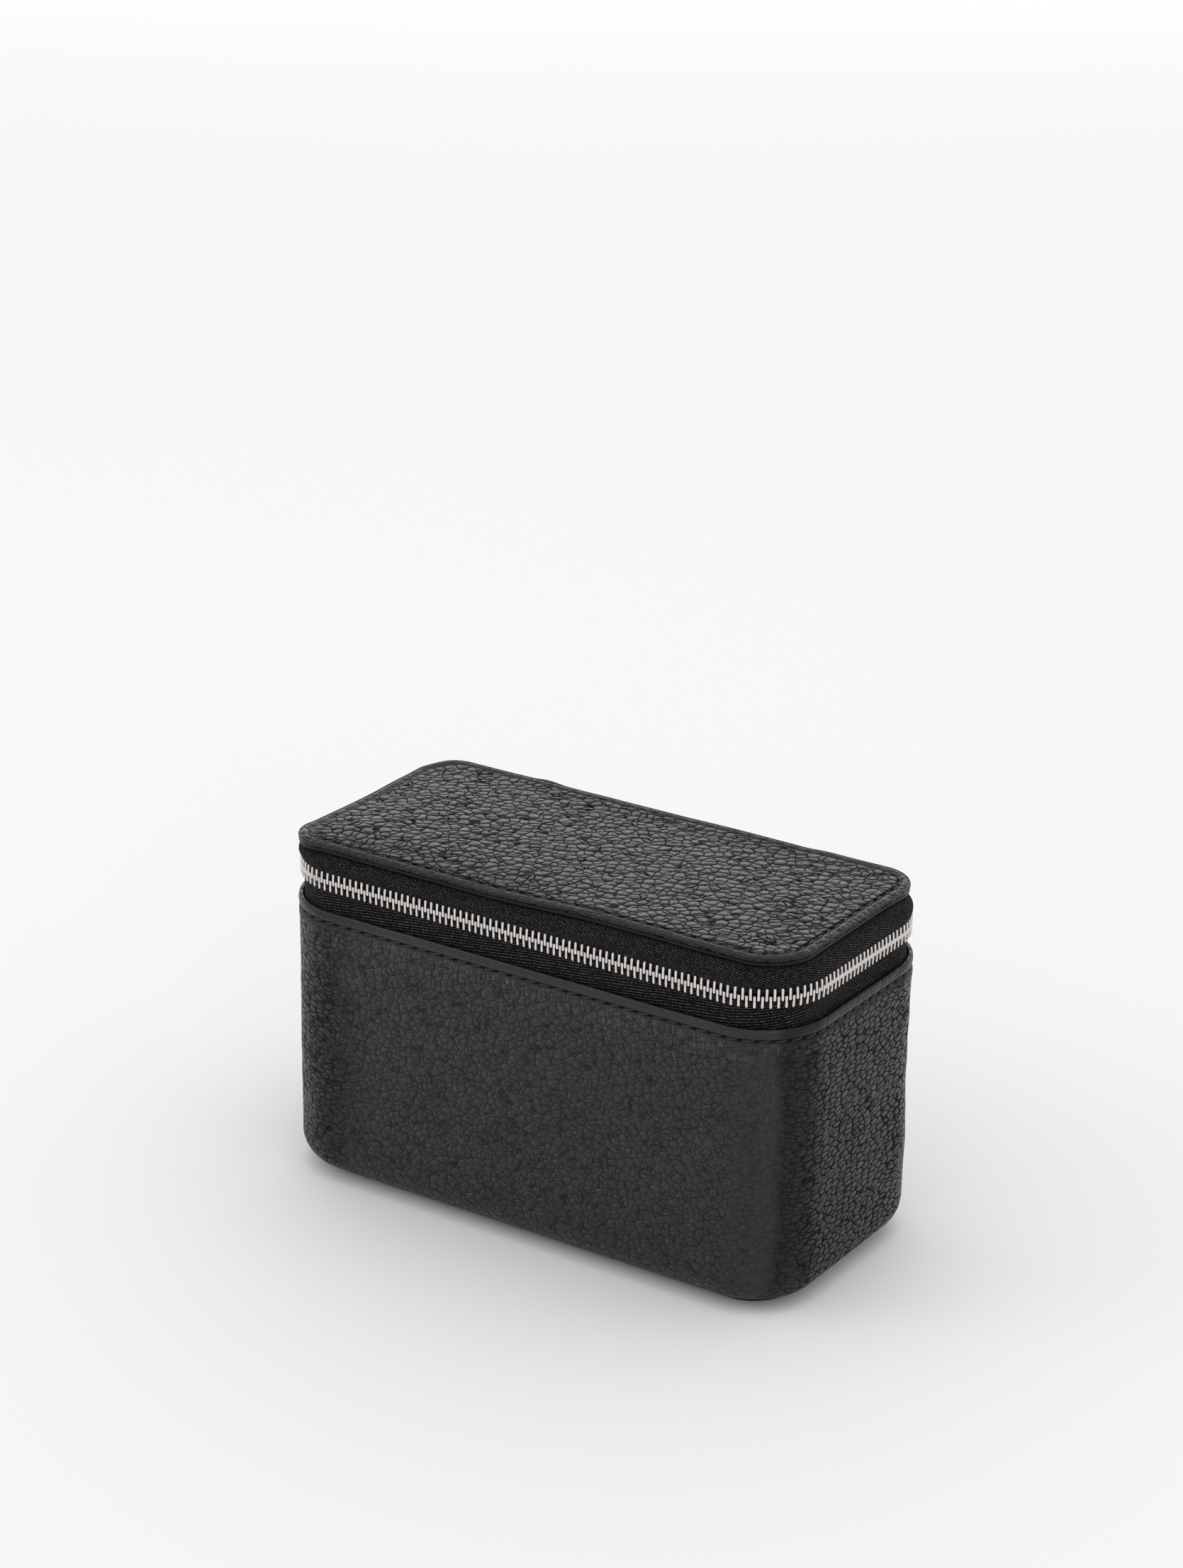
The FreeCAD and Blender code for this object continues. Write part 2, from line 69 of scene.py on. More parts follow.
sky = bpy.data.worlds.new("studio")
sky.use_nodes = True
sky.node_tree.nodes["Background"].inputs["Color"].default_value = (1.0, 1.0, 1.0, 1)
sky.node_tree.nodes["Background"].inputs["Strength"].default_value = 0.88
bpy.context.scene.world = sky
bpy.context.scene.view_settings.view_transform = "Standard"

case_middle = Vector((0, 0, 0.045))
for name, place, width, height, watts in (
    ("back_softbox", (-1.35, 2.1, 0.5), 2.6, 0.75, 6),
    ("left_softbox", (-1.3, -1.0, 0.9), 0.8, 0.8, 3),
    ("right_softbox", (1.3, -1.2, 0.8), 0.5, 0.9, 2),
    ("top_softbox", (0.1, 0.1, 1.9), 1.6, 1.6, 6),
):
    light = bpy.data.lights.new(name, "AREA")
    light.shape = "RECTANGLE"
    light.size = width
    light.size_y = height
    light.energy = watts
    holder = bpy.data.objects.new(name, light)
    holder.location = place
    holder.rotation_euler = (case_middle - Vector(place)).to_track_quat("-Z", "Y").to_euler()
    bpy.context.scene.collection.objects.link(holder)

lens = bpy.data.cameras.new("camera")
lens.lens = 84.77
lens.clip_start = 0.01
camera = bpy.data.objects.new("camera", lens)
camera.location = (0.45793, -0.69951, 0.43291)
look = Vector((-0.01637, 0.01980, 0.10002)) - camera.location
camera.rotation_mode = "QUATERNION"
camera.rotation_quaternion = look.to_track_quat("-Z", "Y") @ Quaternion((0, 0, 1), math.radians(0.794))
bpy.context.scene.collection.objects.link(camera)
bpy.context.scene.camera = camera

# Outer leather. One wrap of black pebbled calf, glued over the stiff shell,
# turned under at the bottom and edge-painted along the rim.
mm = 0.001
case_low, case_high = (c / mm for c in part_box("body_leather"))
case_length = case_high.x - case_low.x
case_depth = case_high.y - case_low.y
rim = case_high.z
leather = 1.2
corner = 18.0
bottom_round = 8.0
turned_edge = 12.0
under = case_low.z
rim_round = 0.5
stitch_drop = 2.9
stitch_pitch = 4.0
rng = random.Random(7)


def station_at(length, depth, radius, s):
    """The place and outward direction, in mm, at a distance walked round a rounded rectangle.

    The walk starts at the middle of the back and goes by the left, front and right.
    """
    run_x, run_y = length - 2 * radius, depth - 2 * radius
    left, heading = s, math.pi
    x, y = 0.0, depth / 2
    for run in (run_x / 2, run_y, run_x, run_y, run_x / 2):
        step = min(left, run)
        x, y = x + step * math.cos(heading), y + step * math.sin(heading)
        left -= step
        if left <= 0:
            break
        turn = min(left / radius, math.pi / 2)
        cx, cy = x - radius * math.sin(heading), y + radius * math.cos(heading)
        heading += turn
        x, y = cx + radius * math.sin(heading), cy - radius * math.cos(heading)
        left -= turn * radius
        if left <= 0:
            break
    return s, x, y, math.sin(heading), -math.cos(heading)


def way_round(length, depth, radius):
    return 2 * (length + depth) - 8 * radius + 2 * math.pi * radius


def walk_round(length, depth, radius, count):
    """The way round and evenly spaced stations on it."""
    around = way_round(length, depth, radius)
    return around, [station_at(length, depth, radius, around * n / count) for n in range(count)]


def sweep(name, stations, rows, nudge=None, path_closed=True, profile_closed=True, around=0.0):
    """A skin carried along the stations. Each row is (distance in from the outline, height).

    nudge(station, inset, height) returns how far that point moves outwards and upwards.
    """
    mesh = bpy.data.meshes.new(name)
    points, faces, lay = [], [], []
    run = [0.0]
    for (i0, z0), (i1, z1) in zip(rows, rows[1:] + rows[:1]):
        run.append(run[-1] + math.hypot(i1 - i0, z1 - z0))
    for st in stations:
        s, x, y, nx, ny = st
        for inset, z in rows:
            out, up = nudge(st, inset, z) if nudge else (0, 0)
            d = out - inset
            points.append(((x + nx * d) * mm, (y + ny * d) * mm, (z + up) * mm))
    wide, high = len(stations), len(rows)
    for i in range(wide if path_closed else wide - 1):
        k = (i + 1) % wide
        s0 = stations[i][0]
        s1 = around if k == 0 and path_closed else stations[k][0]
        for j in range(high if profile_closed else high - 1):
            m = (j + 1) % high
            faces.append((i * high + j, i * high + m, k * high + m, k * high + j))
            lay += [(s0, run[j]), (s0, run[j + 1]), (s1, run[j + 1]), (s1, run[j])]
    if not path_closed and profile_closed:
        faces.append(tuple(range(high - 1, -1, -1)))
        lay += [(0, 0)] * high
        faces.append(tuple((wide - 1) * high + j for j in range(high)))
        lay += [(0, 0)] * high
    mesh.from_pydata(points, [], faces)
    uv = mesh.uv_layers.new(name="lay")
    uv.data.foreach_set("uv", [c for pair in lay for c in pair])
    mesh.polygons.foreach_set("use_smooth", [True] * len(faces))
    turn_faces_out(mesh)
    piece = bpy.data.objects.new(name, mesh)
    bpy.context.scene.collection.objects.link(piece)
    return piece


def turn_faces_out(mesh):
    work = bmesh.new()
    work.from_mesh(mesh)
    bmesh.ops.recalc_face_normals(work, faces=work.faces)
    work.to_mesh(mesh)
    work.free()


def bump_at(value, centre, width):
    return math.exp(-(((value - centre) / width) ** 2))


def soft(x, y, z, size):
    """Smooth hills and hollows about the given size across, from -1 to 1."""
    return noise.noise(Vector((x, y, z)) / size)


def between(value, low, high):
    """0 below low, 1 above high and smooth between them."""
    t = min(max((value - low) / (high - low), 0.0), 1.0)
    return t * t * (3 - 2 * t)


def arc_rows(centre, radius, start, end, count):
    """Rows on an arc; angles in degrees, 0 pointing inwards and 90 up."""
    rows = []
    for n in range(count + 1):
        a = math.radians(start + (end - start) * n / count)
        rows.append((centre[0] + radius * math.cos(a), centre[1] + radius * math.sin(a)))
    return rows


def steps(low, high, size):
    count = max(1, round(abs(high - low) / size))
    return [low + (high - low) * n / count for n in range(1, count)]


stitch_line = rim - stitch_drop
stitch_count = round(way_round(case_length, case_depth, corner) / stitch_pitch)
body_around, body_stations = walk_round(case_length, case_depth, corner, stitch_count * 5)
real_pitch = body_around / stitch_count


def wrap_shape(station, inset, z):
    """Swelling below the stitches, their puckers, and the slack of glued leather."""
    s, x, y, nx, ny = station
    if inset > bottom_round or (inset > leather - 0.01 and z > under + bottom_round):
        return 0, 0
    at_line = bump_at(z, stitch_line, 0.42)
    along = abs((s / real_pitch + 0.1) % 1 - 0.5) * 2
    out = -0.42 * at_line * (0.75 + 0.5 * along**3)
    out += 0.2 * bump_at(z, rim - 1.4, 0.95)
    below = bump_at(z, stitch_line - 1.7, 1.3)
    out += 0.14 * below
    pull = between(z, stitch_line - 9, stitch_line - 1) * (1 - between(z, stitch_line - 0.9, stitch_line))
    out += 0.13 * pull * soft(s * 1.0, z * 0.16, 3.0, 1.5)
    wall = between(z, under + 4, under + 16) * (1 - between(z, stitch_line - 12, stitch_line - 2))
    out += wall * (0.35 * soft(x, y, z, 21) + 0.2 * soft(x + 90, y, z * 1.3, 9))
    flat = abs(ny) ** 8 * (1 - (x / (case_length / 2)) ** 2)
    flat += abs(nx) ** 8 * (1 - (y / (case_depth / 2)) ** 2) * 0.6
    out += 0.3 * flat * wall
    up = 0.12 * soft(s, 11.0, 5.0, 14) * between(z, rim - 2, rim)
    return out, up


wrap_rows = [(turned_edge, under), (bottom_round + 2, under)]
wrap_rows += arc_rows((bottom_round, under + bottom_round), bottom_round, 270, 180, 12)
wrap_rows += [(0, z) for z in steps(under + bottom_round, stitch_line - 4, 0.9)]
wrap_rows += [(0, z) for z in steps(stitch_line - 4, rim - rim_round, 0.3)]
wrap_rows += arc_rows((rim_round, rim - rim_round), rim_round, 180, 90, 4)
wrap_rows += arc_rows((leather - rim_round, rim - rim_round), rim_round, 90, 0, 4)
wrap_rows += [(leather, z) for z in steps(rim - rim_round, under + bottom_round, 8)]
wrap_rows += arc_rows((bottom_round, under + bottom_round), bottom_round - leather, 180, 270, 6)
wrap_rows += [(turned_edge, under + leather)]
body_wrap = sweep("body_wrap", body_stations, wrap_rows, wrap_shape, around=body_around)


def mark_spots(piece, label, rule):
    layer = piece.data.attributes.new(label, "FLOAT", "POINT")
    layer.data.foreach_set("value", [rule(*(v.co / mm)) for v in piece.data.vertices])


def mark_grain(piece, coarse, slack):
    """Writes where the grain is coarse, and where it is pulled smooth, on the mesh."""
    mark_spots(piece, "coarse", coarse)
    mark_spots(piece, "slack", slack)


def body_coarse(x, y, z):
    front = between(-y, case_depth / 2 - 9, case_depth / 2 - 2)
    left_end = 1 - between(x, -case_length / 2 + 6, -case_length / 2 + 46)
    return 1 - front * (1 - 0.75 * left_end)


def body_slack(x, y, z):
    cx = case_length / 2 - corner
    cy = case_depth / 2 - corner
    dx, dy = max(abs(x) - cx, 0), max(abs(y) - cy, 0)
    bend = 2 * dx * dy / (dx * dx + dy * dy + 1e-6)
    worn = bend if x > 0 > y else bend * 0.55
    rim_band = between(z, stitch_line - 2.2, stitch_line - 0.2)
    turned = 1 - between(z, under, under + 4)
    return (1 - 0.45 * worn) * (1 - 0.86 * rim_band) * (1 - 0.35 * turned)


mark_grain(body_wrap, body_coarse, body_slack)
# Painted shade along the stitch groove, used by the calf finish to darken its base colour.
mark_spots(body_wrap, "seam_shade", lambda x, y, z: 0.9 * bump_at(z, stitch_line, 0.42))
mark_spots(body_wrap, "pulled", lambda x, y, z: between(z, stitch_line - 8,
    stitch_line - 1) * (z < stitch_line - 0.3))


class Finish:
    """A material being built from nodes."""

    def __init__(self, name):
        self.material = bpy.data.materials.new(name)
        self.material.use_nodes = True
        self.tree = self.material.node_tree
        self.skin = self.tree.nodes["Principled BSDF"]

    def add(self, kind, settings=None, **inputs):
        node = self.tree.nodes.new("ShaderNode" + kind)
        for key, value in (settings or {}).items():
            setattr(node, key, value)
        for key, value in inputs.items():
            place = node.inputs[int(key[2:])] if key.startswith("in") else node.inputs[key.replace("_",
                " ")]
            self.put(place, value)
        return node

    def put(self, place, value):
        if isinstance(value, bpy.types.NodeSocket):
            self.tree.links.new(value, place)
        else:
            place.default_value = value

    def maths(self, work, a, b=0.0, c=0.0):
        node = self.add("Math", {"operation": work}, in0=a, in1=b, in2=c)
        return node.outputs[0]

    def blend(self, share, a, b):
        node = self.add("Mix", {"data_type": "FLOAT"})
        self.put(node.inputs[0], share)
        self.put(node.inputs[2], a)
        self.put(node.inputs[3], b)
        return node.outputs[0]

    def tint(self, share, a, b):
        node = self.add("Mix", {"data_type": "RGBA"})
        self.put(node.inputs[0], share)
        self.put(node.inputs[6], a)
        self.put(node.inputs[7], b)
        return node.outputs[2]

    def ramp(self, value, low, high, smooth=True):
        node = self.add("MapRange", {"interpolation_type": "SMOOTHSTEP" if smooth else "LINEAR"})
        self.put(node.inputs["Value"], value)
        self.put(node.inputs["From Min"], low)
        self.put(node.inputs["From Max"], high)
        return node.outputs["Result"]

    def place(self, sizes, turn=(0, 0, 0), lay=False):
        """Cells of the given sizes in mm, from the piece or its lay, turned in degrees."""
        source = self.add("TexCoord").outputs["UV" if lay else "Object"]
        unit = 1.0 if lay else mm
        node = self.add("Mapping", {"vector_type": "TEXTURE"})
        self.put(node.inputs["Vector"], source)
        node.inputs["Rotation"].default_value = [math.radians(t) for t in turn]
        node.inputs["Scale"].default_value = [v * unit for v in sizes]
        return node.outputs[0]

    def relief(self, height, depth_mm, strength=1.0, under=None):
        node = self.add("Bump")
        node.inputs["Strength"].default_value = strength
        node.inputs["Distance"].default_value = depth_mm * mm
        self.put(node.inputs["Height"], height)
        if under is not None:
            self.put(node.inputs["Normal"], under)
        return node.outputs[0]

    def dress(self, *pieces):
        for piece in pieces:
            piece.data.materials.clear()
            piece.data.materials.append(self.material)


def pebbles(finish, sizes, turn, wander, crease, even=0.8):
    """Domed grains with narrow creases between them: their height, and how near a crease is."""
    where = finish.place(sizes, turn)
    drift = finish.add("TexNoise", Vector=where, Scale=0.6, Detail=1.0)
    pushed = finish.add("VectorMath", {"operation": "MULTIPLY_ADD"})
    finish.put(pushed.inputs[0], drift.outputs["Color"])
    pushed.inputs[1].default_value = (wander, wander, wander)
    finish.put(pushed.inputs[2], where)
    middles = finish.add("TexVoronoi", {"feature": "F1"}, Vector=pushed.outputs[0], Scale=1.0,
        Randomness=even)
    sides = finish.add("TexVoronoi", {"feature": "DISTANCE_TO_EDGE"}, Vector=pushed.outputs[0],
        Scale=1.0, Randomness=even)
    edge = sides.outputs["Distance"]
    fall = finish.maths("POWER", middles.outputs["Distance"], 2.0)
    dome = finish.maths("MULTIPLY_ADD", fall, -1.1, 1.0)
    return finish.blend(0.28, dome, finish.ramp(edge, 0.0, crease)), edge


def long_folds(finish, sizes, turn, rare):
    """Fine broken lines that wander across many grains: 1 on a line and 0 off it."""
    line = finish.add("TexNoise", Vector=finish.place(sizes, turn), Scale=1.0, Detail=2.5,
        Distortion=0.9).outputs["Fac"]
    patchy = finish.add("TexNoise", Vector=finish.place((16, 16, 16)), Scale=1.0, Detail=1.0).outputs["Fac"]
    return finish.maths("MULTIPLY", finish.ramp(line, rare, rare + 0.07), finish.ramp(patchy, 0.2, 0.6))


def calf(name, size, turn, depth, fine=None, folds=None, width=0.07, shine=0.36):
    """Black pebbled calf: pebbles, hair pores, a little dye variation and a soft wax shine, with painted
    shade in the creases and painted highlights on the pebble tops and on thin glint streaks.

    fine is the size and turn of the flatter grain where "coarse" is 0, folds those of long creases.
    """
    f = Finish(name)
    slack = f.add("Attribute", {"attribute_name": "slack"}).outputs["Fac"]
    height, edge = pebbles(f, size, turn, 0.7, 0.16)
    small, _ = pebbles(f, [v * 0.42 for v in size], turn, 0.8, 0.3)
    height = f.maths("ADD", height, f.maths("MULTIPLY", small, 0.1))
    crease = f.ramp(edge, width, 0.0)
    broken = f.add("TexNoise", Vector=f.place([v * 1.6 for v in size]), Scale=1.0,
        Detail=2.0).outputs["Fac"]
    crease = f.maths("MULTIPLY", crease, f.maths("MULTIPLY", f.ramp(broken, 0.26, 0.5), 0.85))
    glint = 0.0
    share = 0.0
    if fine:
        share = f.add("Attribute", {"attribute_name": "coarse"}).outputs["Fac"]
        patchy = f.add("TexNoise", Vector=f.place((26, 26, 20)), Scale=1.0, Detail=2.0).outputs["Fac"]
        share = f.ramp(f.maths("ADD", share, f.maths("MULTIPLY_ADD", patchy, 0.6, -0.3)), 0.2, 0.8)
        low, low_edge = pebbles(f, fine[0], fine[1], 0.9, 0.3)
        streak = f.add("TexNoise", Vector=f.place((0.26, 0.26, 1.5), (0, -26, 0)), Scale=1.0,
            Detail=1.0).outputs["Fac"]
        clump = f.add("TexNoise", Vector=f.place((2.2, 2.2, 2.6)), Scale=1.0, Detail=2.0).outputs["Fac"]
        streak = f.maths("MULTIPLY", f.ramp(streak, 0.64, 0.72), f.ramp(clump, 0.3, 0.55))
        # Painted highlight: thin diagonal streaks, lightened in the base colour as glints.
        glint = f.maths("MULTIPLY", f.maths("MULTIPLY", streak, slack), f.maths("SUBTRACT", 1.0, share))
        low = f.maths("MULTIPLY_ADD", low, 0.55, f.maths("MULTIPLY", streak, 0.05))
        height = f.blend(share, low, height)
        crease = f.blend(share, f.maths("MULTIPLY", f.ramp(low_edge, 0.1, 0.0), 0.5), crease)
    height = f.maths("MULTIPLY", height, f.maths("MULTIPLY_ADD", slack, 0.93, 0.07))
    crease = f.maths("MULTIPLY", crease, slack)
    if folds:
        line = f.maths("MULTIPLY", long_folds(f, folds[0], folds[1], 0.6), f.ramp(slack, 0.1, 0.6))
        height = f.maths("MULTIPLY_ADD", line, -0.16, height)
        crease = f.maths("MAXIMUM", crease, f.maths("MULTIPLY", line, 0.28))
        pulled = f.add("Attribute", {"attribute_name": "pulled"}).outputs["Fac"]
        draw = f.add("TexNoise", Vector=f.place((0.6, 4.0, 1), lay=True), Scale=1.0,
            Detail=1.0).outputs["Fac"]
        draw = f.maths("MULTIPLY", f.ramp(draw, 0.52, 0.66), pulled)
        height = f.maths("MULTIPLY_ADD", draw, 0.2, height)
        # Painted highlight: glints on the puckers under the stitches.
        glint = f.maths("MAXIMUM", glint, f.maths("MULTIPLY", draw, f.ramp(slack, 0.2, 0.9)))
        # Painted shade along the stitch groove.
        seam_shade = f.add("Attribute", {"attribute_name": "seam_shade"}).outputs["Fac"]
        crease = f.maths("MAXIMUM", crease, seam_shade)
    pores = f.add("TexNoise", Vector=f.place((0.3, 0.3, 0.3)), Scale=1.0, Detail=3.0, Roughness=0.6)
    rolling = f.add("TexNoise", Vector=f.place((9, 9, 7)), Scale=1.0, Detail=2.0)
    normal = f.relief(rolling.outputs["Fac"], 0.6, 0.5)
    normal = f.relief(height, depth, 1.0, normal)
    normal = f.relief(pores.outputs["Fac"], 0.018, 0.7, normal)
    f.put(f.skin.inputs["Normal"], normal)
    dye = f.add("TexNoise", Vector=f.place((14, 14, 14)), Scale=1.0, Detail=4.0).outputs["Fac"]
    dye_and_top_highlight = f.tint(f.ramp(dye, 0.35, 0.7), (0.003, 0.0028, 0.0036, 1), (0.0058, 0.0054, 0.0066, 1))
    # Painted highlight: the tops of the pebbles are lightened in the base colour, as if they catch the
    # light.
    painted_top_highlight = f.maths("MULTIPLY", f.ramp(height, 0.62, 1.05), slack)
    dye_and_top_highlight = f.tint(painted_top_highlight, dye_and_top_highlight, (0.02, 0.0195, 0.0215, 1))
    # Painted highlight: the glint streaks and puckers are lightened in the base colour.
    painted_glint_colour = f.tint(glint, dye_and_top_highlight, (0.06, 0.0585, 0.062, 1))
    # Painted shade: the creases, the long folds and the stitch groove are darkened almost to black in the
    # base colour.
    f.put(f.skin.inputs["Base Color"], f.tint(crease, painted_glint_colour, (0.0006, 0.0006, 0.0008, 1)))
    rough = f.blend(f.ramp(pores.outputs["Fac"], 0.3, 0.7), 0.33, 0.4)
    rough = f.blend(f.maths("MULTIPLY", slack, 0.25), f.maths("SUBTRACT", rough, 0.07), rough)
    rough = f.blend(glint, rough, 0.27)
    rough = f.blend(crease, rough, 0.9)
    f.put(f.skin.inputs["Roughness"], rough)
    f.put(f.skin.inputs["Specular IOR Level"], f.blend(crease,
        f.maths("MULTIPLY_ADD", share, -0.2, shine), 0.02))
    return f


body_calf = calf("body_calf", (2.5, 2.9, 1.3), (0, 0, 0), 0.9, ((2.2, 2.2, 1.7), (0, -20, 0)),
    ((4.4, 4.4, 0.42), (0, -17, 0)), 0.15, 0.47)
body_calf.dress(body_wrap)
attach(body_wrap, "case")
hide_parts("body_leather")

# Rim stitches. Waxed black linen, saddle-stitched by hand, so each stitch
# slants a little and sinks at both ends into its awl holes.
stitch_long = 3.5
stitch_wide = 0.52


def stitch_group(name, spots, ride_on, node):
    """Small twisted threads, each laid at (place, along, outwards) in mm."""
    mesh = bpy.data.meshes.new(name)
    points, faces = [], []
    ring, cuts = 8, 9
    for centre, along, out in spots:
        side = out.cross(along)
        slant = math.radians(7 + rng.uniform(-3, 3))
        line = along * math.cos(slant) + side * math.sin(slant)
        across = out.cross(line)
        reach = stitch_long / 2 * rng.uniform(0.94, 1.05)
        base = len(points)
        for c in range(cuts):
            t = -1 + 2 * c / (cuts - 1)
            thick = stitch_wide / 2 * max(0.05, 1 - abs(t) ** 4) ** 0.5
            sink = -0.42 * abs(t) ** 3
            for r in range(ring):
                a = 2 * math.pi * (r / ring)
                ply = 1 + 0.1 * math.cos(2 * a + t * 9)
                p = centre + line * (t * reach) + out * (sink + math.sin(a) * thick * 0.8 * ply)
                p = p + across * (math.cos(a) * thick * ply)
                points.append(p * mm)
        for c in range(cuts - 1):
            for r in range(ring):
                q = (r + 1) % ring
                faces.append((base + c * ring + r, base + c * ring + q, base + (c + 1) * ring + q,
                    base + (c + 1) * ring + r))
        faces.append(tuple(base + r for r in reversed(range(ring))))
        faces.append(tuple(base + (cuts - 1) * ring + r for r in range(ring)))
    mesh.from_pydata(points, [], faces)
    mesh.polygons.foreach_set("use_smooth", [True] * len(faces))
    turn_faces_out(mesh)
    piece = bpy.data.objects.new(name, mesh)
    bpy.context.scene.collection.objects.link(piece)
    waxed_thread.dress(piece)
    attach(piece, ride_on)
    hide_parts(node)
    return piece


waxed_thread = Finish("waxed_thread")
plies = waxed_thread.add("TexWave", {"bands_direction": "DIAGONAL"},
    Vector=waxed_thread.place((0.5, 0.5, 0.5)), Scale=1.0)
waxed_thread.put(waxed_thread.skin.inputs["Normal"], waxed_thread.relief(plies.outputs["Fac"], 0.06, 0.7))
fuzz = waxed_thread.add("TexNoise", Vector=waxed_thread.place((2, 2, 2)), Scale=1.0,
    Detail=3.0).outputs["Fac"]
waxed_thread.put(waxed_thread.skin.inputs["Base Color"],
    waxed_thread.tint(fuzz, (0.006, 0.006, 0.007, 1), (0.02, 0.02, 0.021, 1)))
waxed_thread.put(waxed_thread.skin.inputs["Roughness"], waxed_thread.blend(fuzz, 0.38, 0.6))

upright = Vector((0, 0, 1))
rim_spots = []
for n in range(stitch_count):
    s, x, y, nx, ny = body_stations[n * 5 + 2]
    out = Vector((nx, ny, 0))
    _, rise = wrap_shape(body_stations[n * 5 + 2], 0, stitch_line)
    rim_spots.append((Vector((x, y, stitch_line + rise)) - out * 0.12, Vector((ny, -nx, 0)), out))
stitch_group("rim_thread", rim_spots, "case", "rim_stitches")

# Base panel. A stiff board covered with thin matte leather, glued under the
# case a little inside its outline, so the case stands clear of the table.
base_low, base_high = (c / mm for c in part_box("base_panel"))
base_corner = corner - 7
base_around, base_stations = walk_round(base_high.x - base_low.x, base_high.y - base_low.y, base_corner,
    220)


def closed_board(name, stations, rows, nudge=None, around=0.0):
    """A swept edge with its top and bottom filled in, for boards and panels."""
    piece = sweep(name, stations, rows, nudge, profile_closed=False, around=around)
    work = bmesh.new()
    work.from_mesh(piece.data)
    work.verts.ensure_lookup_table()
    wide, high = len(stations), len(rows)
    for j in (0, high - 1):
        loop = [work.verts[i * high + j] for i in range(wide)]
        work.faces.new(loop)
    bmesh.ops.recalc_face_normals(work, faces=work.faces)
    work.to_mesh(piece.data)
    work.free()
    return piece


board_rows = [(6, 0.0)] + arc_rows((0.5, 0.5), 0.5, 270, 180, 4) + arc_rows((0.3, base_high.z - 0.3),
    0.3, 180, 90, 3)
board_rows.append((6, base_high.z))
base_board = closed_board("base_board", base_stations, board_rows, around=base_around)
base_leather = calf("base_leather", (1.0, 1.0, 1.0), (0, 0, 0), 0.12)
mark_grain(base_board, lambda x, y, z: 1, lambda x, y, z: 1)
base_leather.dress(base_board)
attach(base_board, "case")
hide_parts("base_panel")

# Zip cloth. Black twill tape, the lower one glued inside the rim and
# the upper one turned in under the lid's edge, bulging where the lid presses.
tape = 0.6
tape_step = leather
zip_line = frame["joints"][0]["pos_m"][2] / mm
hinge_y = frame["joints"][0]["pos_m"][1] / mm
tape_gap = 1.0
hinge_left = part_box("hinge_leather")[0].x / mm
hinge_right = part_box("hinge_leather")[1].x / mm
lid_low, lid_high = (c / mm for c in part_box("lid_leather"))
lid_top = lid_high.z
backing_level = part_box("lid_backing")[0].z / mm
tape_around, tape_stations = walk_round(case_length, case_depth, corner, 460)
zip_run = [st for st in tape_stations if not (st[2] > hinge_y and hinge_left < st[1] < hinge_right)]
zip_run.sort(key=lambda st: st[0])


def sheet_rows(line, thick):
    """Both faces of a sheet whose outer face follows the line of (inset, height) rows."""
    inner = []
    for n, (inset, z) in enumerate(line):
        i0, z0 = line[max(n - 1, 0)]
        i1, z1 = line[min(n + 1, len(line) - 1)]
        size = math.hypot(i1 - i0, z1 - z0)
        inner.append((inset + (z1 - z0) / size * thick, z - (i1 - i0) / size * thick))
    return line + inner[::-1]


def smooth_line(knots, gap):
    """A smooth line through a few (inset, height) knots."""
    line = []
    padded = [knots[0]] + knots + [knots[-1]]
    for a, b, c, d in zip(padded, padded[1:], padded[2:], padded[3:]):
        count = max(1, round(math.dist(b, c) / gap))
        for n in range(count):
            t = n / count
            point = []
            for k in range(2):
                v = 2 * b[k] + (c[k] - a[k]) * t + (2 * a[k] - 5 * b[k] + 4 * c[k] - d[k]) * t * t
                point.append((v + (3 * b[k] - a[k] - 3 * c[k] + d[k]) * t**3) / 2)
            line.append(tuple(point))
    line.append(knots[-1])
    return line


lower_line = smooth_line(
    [
        (tape_step + 0.1, rim - 7.5),
        (tape_step + 0.1, rim - 1),
        (tape_step + 0.35, rim + 1.5),
        (tape_step + 0.5, rim + 4),
        (tape_step, zip_line - tape_gap - 0.6),
        (tape_step, zip_line - tape_gap),
    ],
    0.7,
)
upper_line = smooth_line(
    [
        (tape_step, zip_line + tape_gap),
        (tape_step - 0.2, zip_line + tape_gap + 0.9),
        (tape_step - 0.65, zip_line + 3.4),
        (tape_step - 0.55, zip_line + 4.8),
        (tape_step + 0.5, zip_line + 6.4),
        (tape_step + 2.2, backing_level - 0.25),
        (tape_step + 4.5, backing_level - 0.05),
        (tape_step + 7.5, backing_level - 0.05),
    ],
    0.6,
)


def from_table(table, value):
    for (a, b), (c, d) in zip(table, table[1:]):
        if value <= c:
            return b + (d - b) * between(value, a, c)
    return table[-1][1]


left_droop = ((-36, 1.1), (-15, 1.3), (2, 1.5), (15, 1.2), (26, 0.8), (33, 0.1))
front_droop = ((-75, 1.1), (-60, 1.25), (-15, 1.3), (25, 0.0))


def lid_droop(x, y):
    """How far the lid's edge hangs at its left end and along the left of its front."""
    left = from_table(left_droop, y) * (1 - between(x - lid_low.x, 0, 16))
    front = from_table(front_droop, x) * (1 - between(y - lid_low.y, 0, 16))
    return (left**4 + front**4) ** 0.25


